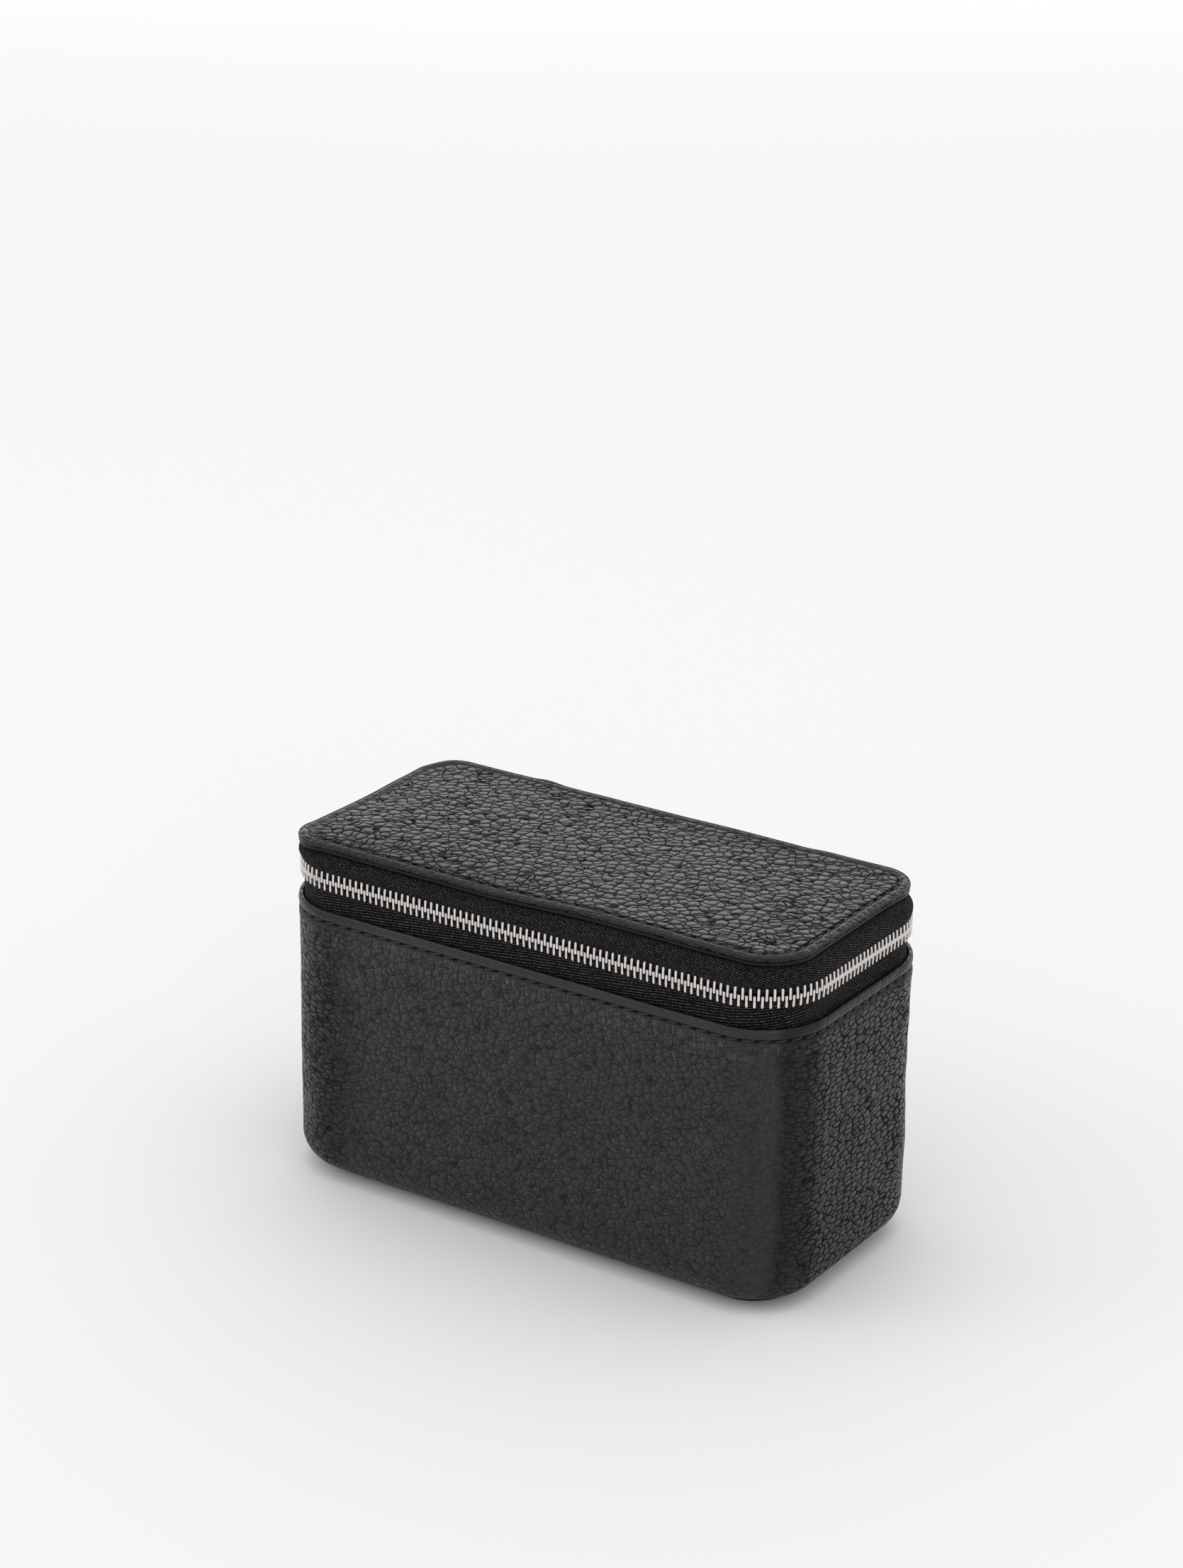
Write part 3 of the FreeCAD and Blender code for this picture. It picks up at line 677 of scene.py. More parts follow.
def slack_cloth(station, inset, z):
    s, x, y, nx, ny = station
    loose = between(abs(z - zip_line), 1.4, 3.2) * between(z, rim + 0.2, rim + 2)
    loose *= 1 - between(z, backing_level - 1.6, backing_level - 0.2)
    ends = between(x, hinge_left - 6, hinge_left) * (1 - between(x, hinge_right, hinge_right + 6))
    loose *= 1 - ends * (y > hinge_y)
    out = loose * (0.45 * soft(s, z * 2, 3.0, 16) + 0.16 * soft(s, z * 2, 9.0, 5))
    pressed = between(z, zip_line + 1, backing_level - 1)
    out += 1.0 * pressed * (1 - between(inset, tape_step, tape_step + 2)) * max(-nx,
        0) * (1 - between(y, 0, 26))
    return out, -lid_droop(x - nx * inset, y - ny * inset) * pressed


lower_cloth = sweep("lower_cloth", zip_run, sheet_rows(lower_line, tape), slack_cloth, path_closed=False)
upper_cloth = sweep("upper_cloth", zip_run, sheet_rows(upper_line, tape), slack_cloth, path_closed=False)



def twill_tape(name, slope, rib_pitch):
    """Black twill: ribs running along the tape at a slope, each made of short floats, with a painted
    highlight on the raised floats.
    """
    f = Finish(name)
    lay = f.add("SeparateXYZ", in0=f.place((1, 1, 1), lay=True))
    along, across = lay.outputs[0], lay.outputs[1]
    wavy = f.add("TexNoise", Vector=f.place((3, 3, 1.5)), Scale=1.0, Detail=2.0).outputs["Fac"]
    across = f.maths("MULTIPLY_ADD", wavy, 0.25, across)
    line = f.maths("DIVIDE", f.maths("MULTIPLY_ADD", along, slope, across), rib_pitch)
    rib = f.maths("PINGPONG", line, 0.5)
    row = f.maths("FLOOR", f.maths("ADD", line, 0.5))
    float_at = f.maths("ADD", f.maths("DIVIDE", along, 0.46), f.maths("MULTIPLY", row, 0.5))
    float_at = f.maths("PINGPONG", float_at, 0.5)
    woven = f.maths("MULTIPLY_ADD", float_at, 0.7, f.maths("MULTIPLY", rib, 1.3))
    f.put(f.skin.inputs["Normal"], f.relief(woven, 0.3, 1.0))
    fibre = f.add("TexNoise", Vector=f.place((0.35, 0.35, 0.35)), Scale=1.0, Detail=3.0).outputs["Fac"]
    dark = f.tint(fibre, (0.0008, 0.0008, 0.001, 1), (0.003, 0.0028, 0.0034, 1))
    # Painted highlight: the raised yarn floats are lightened far above the black cloth, as if they catch
    # the light.
    yarn_highlight = f.tint(f.ramp(fibre, 0.42, 0.68), (0.02, 0.0185, 0.022, 1), (0.24, 0.225, 0.25, 1))
    top_yarn = f.ramp(f.maths("MULTIPLY", rib, f.maths("MULTIPLY_ADD", float_at, 1.1, 0.6)), 0.22, 0.5)
    f.put(f.skin.inputs["Base Color"], f.tint(top_yarn, dark, yarn_highlight))
    f.skin.inputs["Roughness"].default_value = 0.8
    f.skin.inputs["Specular IOR Level"].default_value = 0.1
    return f


twill_tape("upper_twill", 0.31, 0.58).dress(upper_cloth)
twill_tape("lower_twill", -0.13, 0.7).dress(lower_cloth)
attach(lower_cloth, "case")
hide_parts("lower_tape")
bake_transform(upper_cloth)
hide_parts("upper_tape", "zip_end_tape_left", "zip_end_tape_right")

# Zip teeth. Nickel-plated teeth clamped to the beaded edge of each tape; the
# heads of one row sit in the gaps of the other.
tooth_pitch = 1.75
tooth_inset = tape_step + tape / 2
teeth_length = case_length - 2 * tooth_inset
teeth_depth = case_depth - 2 * tooth_inset
tooth_line = [
    (-0.58, 0.2), (-0.5, 0.29), (-0.3, 0.33), (0.35, 0.33), (0.65, 0.29), (0.95, 0.3),
    (1.3, 0.33), (2.05, 0.33), (2.33, 0.29), (2.45, 0.18),
]
tooth_levels = ((-1.14, 0.7), (-1.07, 0.92), (-0.9, 1.0), (0.9, 1.0), (1.07, 0.92), (1.14, 0.7))


def tooth_group(name, spots, node):
    """Teeth at (x, y, heading, up); up is 1 for the upper tape and -1 for the lower."""
    mesh = bpy.data.meshes.new(name)
    points, faces = [], []
    outline = [(w, z) for z, w in tooth_line] + [(-w, z) for z, w in reversed(tooth_line)]
    middle = 0.75
    for x, y, heading, up in spots:
        base = len(points)
        ca, sa = math.cos(heading), math.sin(heading)
        lean = rng.uniform(-0.025, 0.025)
        for depth, share in tooth_levels:
            for w, z in outline:
                px = w * (0.55 + 0.45 * share) + lean * z
                pz = up * (middle + (z - middle) * (0.93 + 0.07 * share))
                out = depth * (1 - 0.1 * between(z, 1.4, 2.42))
                points.append(((x + px * ca + out * sa) * mm, (y + px * sa - out * ca) * mm,
                    (zip_line + pz) * mm))
        size = len(outline)
        for a in range(len(tooth_levels) - 1):
            for b in range(size):
                c = (b + 1) % size
                faces.append((base + a * size + b, base + a * size + c, base + (a + 1) * size + c,
                    base + (a + 1) * size + b))
        faces.append(tuple(base + b for b in reversed(range(size))))
        faces.append(tuple(base + (len(tooth_levels) - 1) * size + b for b in range(size)))
    mesh.from_pydata(points, [], faces)
    turn_faces_out(mesh)
    mesh.polygons.foreach_set("use_smooth", [True] * len(faces))
    mesh.set_sharp_from_angle(angle=math.radians(38))
    piece = bpy.data.objects.new(name, mesh)
    bpy.context.scene.collection.objects.link(piece)
    nickel.dress(piece)
    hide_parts(node)
    return piece


nickel = Finish("nickel")
nickel.skin.inputs["Metallic"].default_value = 1.0
rub = nickel.add("TexNoise", Vector=nickel.place((0.9, 0.9, 0.9)), Scale=1.0, Detail=5.0).outputs["Fac"]
nickel.put(nickel.skin.inputs["Base Color"], nickel.tint(rub, (0.56, 0.52, 0.49, 1), (0.84, 0.8, 0.765, 1)))
nickel.put(nickel.skin.inputs["Roughness"], nickel.blend(rub, 0.2, 0.36))
draw = nickel.add("TexNoise", Vector=nickel.place((0.12, 0.12, 1.4)), Scale=1.0, Detail=2.0).outputs["Fac"]
nickel.put(nickel.skin.inputs["Normal"], nickel.relief(draw, 0.012, 0.5))

zip_around = way_round(teeth_length, teeth_depth, corner - tooth_inset)
bottom_stop_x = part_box("bottom_stop")[0].x / mm
slider_low, slider_high = (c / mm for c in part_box("slider_body"))
first_tooth = -bottom_stop_x + 0.2 + tooth_pitch / 2
last_tooth = zip_around - (slider_low.x + 2.8 + tooth_pitch / 2)
straight_end = case_length / 2 - corner
back_arc = math.pi / 2 * (corner - tooth_inset)
tooth_count = int((last_tooth - first_tooth) / tooth_pitch)


def tooth_spots(up, first, last):
    """Teeth of one tape between two distances round the zip."""
    spots = []
    for n in range(tooth_count):
        s = first_tooth + (n + (0.5 if up > 0 else 0)) * tooth_pitch
        if first <= s < last:
            _, x, y, nx, ny = station_at(teeth_length, teeth_depth, corner - tooth_inset, s)
            spots.append((x, y, math.atan2(nx, -ny), up))
    return spots


chain_starts = {
    "lower_row": ("lower_teeth", tooth_spots(-1, straight_end, zip_around - straight_end)),
    "upper_row": ("upper_teeth", tooth_spots(1, straight_end + back_arc,
        zip_around - straight_end - back_arc)),
    "left_corner_row": ("corner_teeth_left", tooth_spots(1, straight_end, straight_end + back_arc)),
    "right_corner_row": ("corner_teeth_right", tooth_spots(1, zip_around - straight_end - back_arc,
        zip_around - straight_end)),
    "left_end_chain": ("zip_end_chain_left", tooth_spots(-1, 0, straight_end) + tooth_spots(1, 0,
        straight_end)),
    "right_end_chain": (
        "zip_end_chain_right",
        tooth_spots(-1, zip_around - straight_end, zip_around) + tooth_spots(1,
            zip_around - straight_end, zip_around),
    ),
}
for name, (node, spots) in chain_starts.items():
    row = tooth_group(name, spots, node)
    if "corner" in name:
        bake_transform(row)
    else:
        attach(row, "lid" if name == "upper_row" else "case")

# Stops. Folded nickel clips that end the zip: one across both tapes at the
# bottom end, one on each tape at the top end.
def eased(name, node, ease, ride_on, finish, faces=2):
    """The fitting with its cut edges broken by a small bevel, as tumbling leaves them."""
    work = bmesh.new()
    work.from_mesh(frame["nodes"][node].data)
    bmesh.ops.remove_doubles(work, verts=work.verts, dist=0.01 * mm)
    bmesh.ops.dissolve_limit(work, angle_limit=math.radians(2), verts=work.verts, edges=work.edges)
    mesh = bpy.data.meshes.new(name)
    work.to_mesh(mesh)
    work.free()
    piece = bpy.data.objects.new(name, mesh)
    bpy.context.scene.collection.objects.link(piece)
    bevel = piece.modifiers.new("ease", "BEVEL")
    bevel.width = ease * mm
    bevel.segments = faces
    bevel.limit_method = "ANGLE"
    bevel.angle_limit = math.radians(35)
    settle(piece)
    piece.data.polygons.foreach_set("use_smooth", [True] * len(piece.data.polygons))
    piece.data.set_sharp_from_angle(angle=math.radians(42))
    finish.dress(piece)
    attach(piece, ride_on)
    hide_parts(node)
    return piece


def settle(piece):
    """Applies the piece's modifiers to its mesh."""
    bpy.context.view_layer.update()
    shaped = bpy.data.meshes.new_from_object(piece.evaluated_get(bpy.context.evaluated_depsgraph_get()))
    old = piece.data
    piece.modifiers.clear()
    piece.data = shaped
    shaped.name = old.name + "_shaped"
    bpy.data.meshes.remove(old)


eased("bottom_clip", "bottom_stop", 0.18, "case", nickel)
eased("top_clips", "top_stops", 0.18, "case", nickel)

# Slider. A die-cast zinc body, polished and nickel-plated, with a wire bail
# on its outer plate for the pull.
eased("slider_casting", "slider_body", 0.24, "zip_slider", nickel, 3)
eased("slider_wire", "slider_bail", 0.08, "zip_slider", nickel)

# Pull. One strip of the same calf folded over the bail, glued to itself and
# sewn down both sides, with a painted edge.
pull_low, pull_high = (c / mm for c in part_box("pull_strap"))
bail = [v / mm for v in frame["joints"][2]["pos_m"]]
strap_half = 1.0
fold_out = 1.85
fold_in = 0.9


def strap_side(sign, outer):
    """One face of the folded strip, as (away from the case, height) in mm."""
    reach = strap_half if outer else 0.02
    edge = fold_out if outer else fold_in
    line = []
    for n in range(13):
        a = math.pi / 2 * n / 12
        line.append((sign * edge * math.sin(a), edge * math.cos(a)))
    for n in range(1, 9):
        t = n / 8
        line.append((sign * (edge + (reach - edge) * between(t, 0, 1)), -t * 5.6))
    tail = pull_low.z - zip_line + (0 if outer else 0.4)
    for n in range(1, 25):
        z = -5.6 + (tail + 5.6) * n / 24
        line.append((sign * (reach + (0.1 * math.sin(n * 0.9) if outer else 0)), z))
    return line


def folded_strap():
    outer_line = strap_side(-1, True)[::-1] + strap_side(1, True)[1:]
    inner_line = strap_side(-1, False)[::-1] + strap_side(1, False)[1:]
    half = (pull_high.x - pull_low.x) / 2
    centre_x = (pull_high.x + pull_low.x) / 2
    end = pull_low.z - zip_line
    cuts = [-1, -0.97, -0.88, -0.6, -0.3, 0, 0.3, 0.6, 0.88, 0.97, 1]
    points, faces = [], []
    for layer, line in enumerate((outer_line, inner_line)):
        for y, z in line:
            near_end = max(0.0, 1 - (z - end) / (half * 0.95))
            width = half * math.sqrt(max(0.0, 1 - near_end**2)) if near_end > 0 else half
            width = max(width, half * 0.16)
            for c in cuts:
                ease = 0.16 * abs(c) ** 12 if layer == 0 else 0
                yy = y - math.copysign(ease, y) if abs(y) > 0.3 else y
                points.append(((centre_x + c * width) * mm, (bail[1] + yy) * mm, (zip_line + z) * mm))
    wide, high = len(cuts), len(outer_line)
    for layer in (0, 1):
        base = layer * wide * high
        for j in range(high - 1):
            for i in range(wide - 1):
                quad = (base + j * wide + i, base + j * wide + i + 1, base + (j + 1) * wide + i + 1,
                    base + (j + 1) * wide + i)
                faces.append(quad if layer == 0 else quad[::-1])
    inner = wide * high
    for j in range(high - 1):
        for i in (0, wide - 1):
            faces.append((j * wide + i, (j + 1) * wide + i, inner + (j + 1) * wide + i,
                inner + j * wide + i))
    for j in (0, high - 1):
        for i in range(wide - 1):
            faces.append((j * wide + i, j * wide + i + 1, inner + j * wide + i + 1, inner + j * wide + i))
    mesh = bpy.data.meshes.new("pull")
    mesh.from_pydata(points, [], faces)
    turn_faces_out(mesh)
    mesh.polygons.foreach_set("use_smooth", [True] * len(faces))
    mesh.set_sharp_from_angle(angle=math.radians(50))
    piece = bpy.data.objects.new("pull", mesh)
    bpy.context.scene.collection.objects.link(piece)
    return piece


pull = folded_strap()
pull_calf = calf("pull_calf", (1.2, 1.2, 1.2), (0, 0, 0), 0.2)
mark_grain(pull, lambda x, y, z: 1, lambda x, y, z: 1)
pull_calf.dress(pull)
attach(pull, "zip_pull")
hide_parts("pull_strap")

stitch_long, stitch_wide = 1.35, 0.34
pull_low_stitch, pull_high_stitch = (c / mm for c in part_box("pull_stitches"))
pull_spots = []
for x in (pull_low_stitch.x + 0.2, pull_high_stitch.x - 0.2):
    for z in range(18):
        height = zip_line - 7.2 - z * 1.6
        for side in (1, -1):
            spot = Vector((x, bail[1] + side * (strap_half + 0.05), height))
            pull_spots.append((spot, upright, Vector((0, side, 0))))
stitch_group("pull_thread", pull_spots, "zip_pull", "pull_stitches")

# Hinge. A wide strip of calf sewn inside the rim and under the lid's edge,
# which folds along the zip's line, with a lining strip glued to its inner face.
hinge_stations = []
hinge_from, hinge_to = hinge_left - 0.2, hinge_right + 0.2
for n in range(97):
    x = hinge_to + (hinge_from - hinge_to) * n / 96
    hinge_stations.append((hinge_to - x, x, case_depth / 2, 0.0, 1.0))
hinge_thick = 1.4
hinge_line = smooth_line(
    [
        (tape_step + 0.05, rim - 7),
        (tape_step + 0.05, rim - 0.5),
        (tape_step + 0.2, rim + 2.5),
        (tape_step + 0.35, zip_line - 3),
        (tape_step + 0.15, zip_line),
        (tape_step - 0.1, zip_line + 3),
        (tape_step + 0.1, backing_level - 2.0),
        (tape_step + 0.55, backing_level - 0.35),
        (tape_step + 1.7, backing_level - 0.05),
        (tape_step + 4.5, backing_level - 0.05),
    ],
    0.6,
)


def hinge_slack(station, inset, z):
    s, x, y, nx, ny = station
    loose = between(z, rim, rim + 3) * (1 - between(z, backing_level - 3, backing_level - 0.5))
    ends = bump_at(x, hinge_from, 1.4) + bump_at(x, hinge_to, 1.4)
    out = loose * (0.3 * soft(x, z * 1.5, 2.0, 18) + 0.16 * soft(x, z * 3, 8.0, 6)) + 0.35 * ends * loose
    proud = between(z, backing_level - 3.5, backing_level - 0.6) * (1 - between(inset, 1.9, 3.0))
    proud *= 0.35 + 0.65 * bump_at(x, hinge_from + 6, 8) + 0.4 * bump_at(x, hinge_to - 3, 5)
    return out + 0.5 * proud, 1.7 * proud


def thinned(line):
    """The strip is pared thin where it goes inside the rim and the lid."""
    outer, inner = line, []
    full = sheet_rows(line, hinge_thick)[len(line):][::-1]
    pared = sheet_rows(line, tape)[len(line):][::-1]
    for (a, b), (c, d) in zip(full, pared):
        t = between(b, rim + 0.2, rim + 1.6) * (1 - between(b, backing_level - 4.2, backing_level - 2.6))
        inner.append((c + (a - c) * t, d + (b - d) * t))
    return outer + inner[::-1]


hinge_strip = sweep("hinge_strip", hinge_stations, thinned(hinge_line), hinge_slack, path_closed=False)
hinge_calf = calf("hinge_calf", (2.2, 2.2, 1.6), (0, 0, 0), 0.35)
mark_grain(hinge_strip, lambda x, y, z: 1, lambda x, y, z: 0.75 - 0.4 * bump_at(z, zip_line, 2.2))
hinge_calf.dress(hinge_strip)
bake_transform(hinge_strip)
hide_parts("hinge_leather")

inner_low, inner_high = (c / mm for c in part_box("hinge_lining"))
inner_inset = case_depth / 2 - inner_high.y + 0.02
inner_line = [(inner_inset, z) for z in [inner_low.z] + steps(inner_low.z, inner_high.z,
    0.8) + [inner_high.z]]
hinge_cloth = sweep(
    "hinge_cloth",
    hinge_stations[1:-1],
    sheet_rows(inner_line, 0.6),
    lambda st, inset, z: (0.1 * soft(st[1], z * 3, 8.0, 6), 0),
    path_closed=False,
)

# Lining. Black microsuede glued to the shell, and thick board under the same
# cloth for the frame that carries the tray and for the lower divider.
suede = Finish("suede")
nap = suede.add("TexNoise", Vector=suede.place((0.16, 0.16, 0.16)), Scale=1.0, Detail=3.0,
    Roughness=0.7).outputs["Fac"]
brushed = suede.add("TexNoise", Vector=suede.place((9, 9, 5)), Scale=1.0, Detail=3.0,
    Distortion=0.6).outputs["Fac"]
stroke = suede.ramp(brushed, 0.2, 0.85)
suede.put(suede.skin.inputs["Base Color"], suede.tint(stroke, (0.017, 0.017, 0.0185, 1),
    (0.027, 0.027, 0.0295, 1)))
suede.put(suede.skin.inputs["Roughness"], suede.blend(nap, 0.82, 1.0))
suede.skin.inputs["Specular IOR Level"].default_value = 0.15
suede.skin.inputs["Sheen Weight"].default_value = 0.35
suede.skin.inputs["Sheen Roughness"].default_value = 0.45
suede.put(suede.skin.inputs["Normal"], suede.relief(nap, 0.12, 0.8))
suede.dress(hinge_cloth)
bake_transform(hinge_cloth)
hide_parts("hinge_lining")

lining_low, lining_high = (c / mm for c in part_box("case_lining"))
lining_inset = (case_length - (lining_high.x - lining_low.x)) / 2
ledge_low, ledge_high = (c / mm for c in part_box("tray_ledge"))
room = lining_inset + 0.8
bend = bottom_round - room


def worked(rows_low, rows_high, size):
    return [rows_low] + [(rows_low[0], z) for z in steps(rows_low[1], rows_high[1], size)] + [rows_high]


lining_rows = [(turned_edge + 3, lining_low.z + 0.8)]
lining_rows += arc_rows((bottom_round, ledge_low.z), bend, 270, 180, 6)
lining_rows += worked((room, ledge_low.z + 1), (room, rim - 2.0), 3)
lining_rows += arc_rows((room - 0.4, rim - 1.6), 0.4, 0, 90, 3)
lining_rows += [(lining_inset - 1.3, rim - 1.2), (lining_inset - 1.3, rim - 1.9),
    (lining_inset + 0.05, rim - 2.2)]
lining_rows += [(lining_inset + 0.05, ledge_low.z), (bottom_round, lining_low.z + 0.05),
    (turned_edge + 3, lining_low.z + 0.05)]
lining_cloth = closed_board(
    "lining_cloth",
    [station_at(case_length, case_depth, corner, body_around * n / 260) for n in range(260)],
    lining_rows,
    around=body_around,
)
suede.dress(lining_cloth)
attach(lining_cloth, "case")
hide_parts("case_lining")

ledge_inset = room + 2.5
ledge_rows = [(room + 0.02, ledge_low.z + 0.1), (room + 0.02, ledge_high.z - 0.5)]
ledge_rows += arc_rows((room + 0.5, ledge_high.z - 0.5), 0.5, 180, 90, 3)
ledge_rows += arc_rows((ledge_inset - 0.7, ledge_high.z - 0.7), 0.7, 90, 0, 4)
ledge_rows += [(ledge_inset, z) for z in steps(ledge_high.z - 0.7, ledge_low.z + 0.1, 4)]
ledge_rows += [(ledge_inset, ledge_low.z + 0.1)]
tray_frame = sweep(
    "tray_frame",
    [station_at(case_length, case_depth, corner, body_around * n / 260) for n in range(260)],
    ledge_rows,
    lambda st, inset, z: (0.12 * soft(st[0], z, 4.0, 9) * between(inset, room + 2, ledge_inset), 0),
    around=body_around,
)
suede.dress(tray_frame)
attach(tray_frame, "case")
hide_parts("tray_ledge")


def covered_board(name, node, soft_by, ride_on, finish, cut=3.0):
    """A board wrapped in cloth: rounded along its edges and slightly full in the middle."""
    low, high = (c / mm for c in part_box(node))
    size = high - low
    half = min(size) / 2
    work = bmesh.new()
    bmesh.ops.create_cube(work, size=1)
    for axis in range(3):
        count = int(min(40, max(1, size[axis] / cut)))
        edges = [e for e in work.edges if abs(e.verts[0].co[axis] - e.verts[1].co[axis]) > 1e-6]
        bmesh.ops.subdivide_edges(work, edges=edges, cuts=count, use_grid_fill=True)
    thin = list(size).index(min(size))
    for v in work.verts:
        p = Vector([low[k] + (v.co[k] + 0.5) * size[k] for k in range(3)])
        swell = 1.0
        for k in range(3):
            if k != thin:
                swell = min(swell, between(min(p[k] - low[k], high[k] - p[k]), 0, half))
        middle = (low[thin] + high[thin]) / 2
        p[thin] = middle + (p[thin] - middle) * (0.7 + 0.3 * swell)
        p[thin] += soft_by * soft(p.x, p.y, p.z, 7) * swell * (1 if p[thin] > middle else -1)
        v.co = p * mm
    mesh = bpy.data.meshes.new(name)
    bmesh.ops.recalc_face_normals(work, faces=work.faces)
    work.to_mesh(mesh)
    work.free()
    piece = bpy.data.objects.new(name, mesh)
    bpy.context.scene.collection.objects.link(piece)
    bevel = piece.modifiers.new("wrap", "BEVEL")
    bevel.width = half * 0.45 * mm
    bevel.segments = 3
    bevel.limit_method = "ANGLE"
    bevel.angle_limit = math.radians(50)
    settle(piece)
    piece.data.polygons.foreach_set("use_smooth", [True] * len(piece.data.polygons))
    finish.dress(piece)
    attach(piece, ride_on)
    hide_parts(node)
    return piece


covered_board("lower_partition", "lower_divider", 0.05, "case", suede)

# Cushions. The floor and the lid each have a thin foam pad covered in the
# same microsuede, stretched over the foam and glued under, so it crowns.
def crowned_pad(name, node, flat_up, ride_on):
    """A pad swollen by air pressure inside its cover, then held to its room."""
    low, high = (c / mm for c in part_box(node))
    size = high - low
    shrink = 0.6
    work = bmesh.new()
    bmesh.ops.create_cube(work, size=1)
    cuts = (int(size.x / 3.2), int(size.y / 3.2), 2)
    for axis in range(3):
        edges = [e for e in work.edges if abs(e.verts[0].co[axis] - e.verts[1].co[axis]) > 1e-6]
        bmesh.ops.subdivide_edges(work, edges=edges, cuts=cuts[axis], use_grid_fill=True)
    radius = pad_corner
    for v in work.verts:
        x = v.co.x * (size.x - 2 * shrink)
        y = v.co.y * (size.y - 2 * shrink)
        hx, hy = size.x / 2 - shrink, size.y / 2 - shrink
        dx, dy = abs(x) - (hx - radius), abs(y) - (hy - radius)
        if dx > 0 and dy > 0:
            reach = max(dx, dy)
            length = math.hypot(dx, dy)
            x = math.copysign(hx - radius + dx / length * reach, x)
            y = math.copysign(hy - radius + dy / length * reach, y)
        z = low.z + (v.co.z + 0.5) * size.z * 0.82 + (0.18 * size.z if flat_up else 0)
        v.co = Vector((x + (low.x + high.x) / 2, y + (low.y + high.y) / 2, z)) * mm
    mesh = bpy.data.meshes.new(name)
    bmesh.ops.recalc_face_normals(work, faces=work.faces)
    work.to_mesh(mesh)
    work.free()
    piece = bpy.data.objects.new(name, mesh)
    bpy.context.scene.collection.objects.link(piece)
    start = [v.co.copy() for v in mesh.vertices]
    cloth = piece.modifiers.new("cover", "CLOTH")
    cloth.settings.quality = 4
    cloth.settings.mass = 0.2
    cloth.settings.tension_stiffness = 30
    cloth.settings.compression_stiffness = 30
    cloth.settings.bending_stiffness = 0.4
    cloth.settings.use_pressure = True
    cloth.settings.uniform_pressure_force = 3.0
    cloth.settings.effector_weights.gravity = 0
    cloth.point_cache.frame_start = 1
    cloth.point_cache.frame_end = 12
    for tick in range(1, 13):
        bpy.context.scene.frame_set(tick)
    settle(piece)
    bpy.context.scene.frame_set(1)
    fixed = high.z if flat_up else low.z
    for v, begun in zip(piece.data.vertices, start):
        move = v.co - begun
        if move.length > 1.2 * mm:
            move *= 1.2 * mm / move.length
        p = (begun + move) / mm
        p.z = min(p.z, high.z) if flat_up else max(p.z, low.z)
        edge = min(p.x - low.x, high.x - p.x, p.y - low.y, high.y - p.y)
        dome = 0.35 * between(edge, 0, 12) * abs(p.z - fixed) / size.z
        p.z += (-dome if flat_up else dome) + 0.1 * soft(p.x, p.y, 3.0, 8) * between(abs(p.z - fixed),
            0.6, 1.6)
        v.co = p * mm
    smooth = piece.modifiers.new("round", "SUBSURF")
    smooth.levels = 1
    settle(piece)
    piece.data.polygons.foreach_set("use_smooth", [True] * len(piece.data.polygons))
    suede.dress(piece)
    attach(piece, ride_on)
    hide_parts(node)
    return piece


pad_corner = 12.5
crowned_pad("floor_cushion", "floor_pad", False, "case")

# Stiff shell and lid board. Grey binder's board, moulded over a form; both are
# closed in between the leather and the lining.
grey_board = Finish("grey_board")
fibres = grey_board.add("TexNoise", Vector=grey_board.place((0.5, 0.5, 2.5)), Scale=1.0,
    Detail=5.0).outputs["Fac"]
grey_board.put(grey_board.skin.inputs["Base Color"],
    grey_board.tint(fibres, (0.2, 0.18, 0.15, 1), (0.33, 0.3, 0.26, 1)))
grey_board.put(grey_board.skin.inputs["Normal"], grey_board.relief(fibres, 0.1, 0.6))
grey_board.skin.inputs["Roughness"].default_value = 0.9
grey_board.dress(frame["nodes"]["body_shell"], frame["nodes"]["lid_board"])

# Lid. Two layers of calf glued back to back round the turned-in zip cloth,
# trimmed together and edge-painted. Soft leather, so the edge wanders a little.
lid_length = lid_high.x - lid_low.x
lid_depth = lid_high.y - lid_low.y
lid_corner = 11.0
lid_stitch_inset = 2.6
lid_sewn = round(way_round(lid_length, lid_depth, lid_corner) / stitch_pitch)
lid_around, lid_stations = walk_round(lid_length, lid_depth, lid_corner, lid_sewn * 5)
back_wave = ((-70, 0.0), (-60, -0.6), (-44, -0.7), (-38, -0.9), (38, -0.9), (46, 0.0), (70, 0.0))


def edge_wander(station):
    """How far the trimmed edge of the lid stands out from a true rectangle."""
    s, x, y, nx, ny = station
    corner_share = max(abs(nx) + abs(ny) - 1, 0)
    out = max(ny, 0) ** 4 * from_table(back_wave, x)
    if ny < 0:
        out += corner_share * (2.6 if nx < 0 else -2.0)
    return out + 0.16 * soft(s, 1.0, 2.0, 17)


def lid_lie(x, y):
    """The rise and fall of the lid over the zip cloth inside it."""
    return 0.3 * soft(x, y, 1.0, 38) + 0.1 * soft(x, y, 7.0, 13) - lid_droop(x, y)


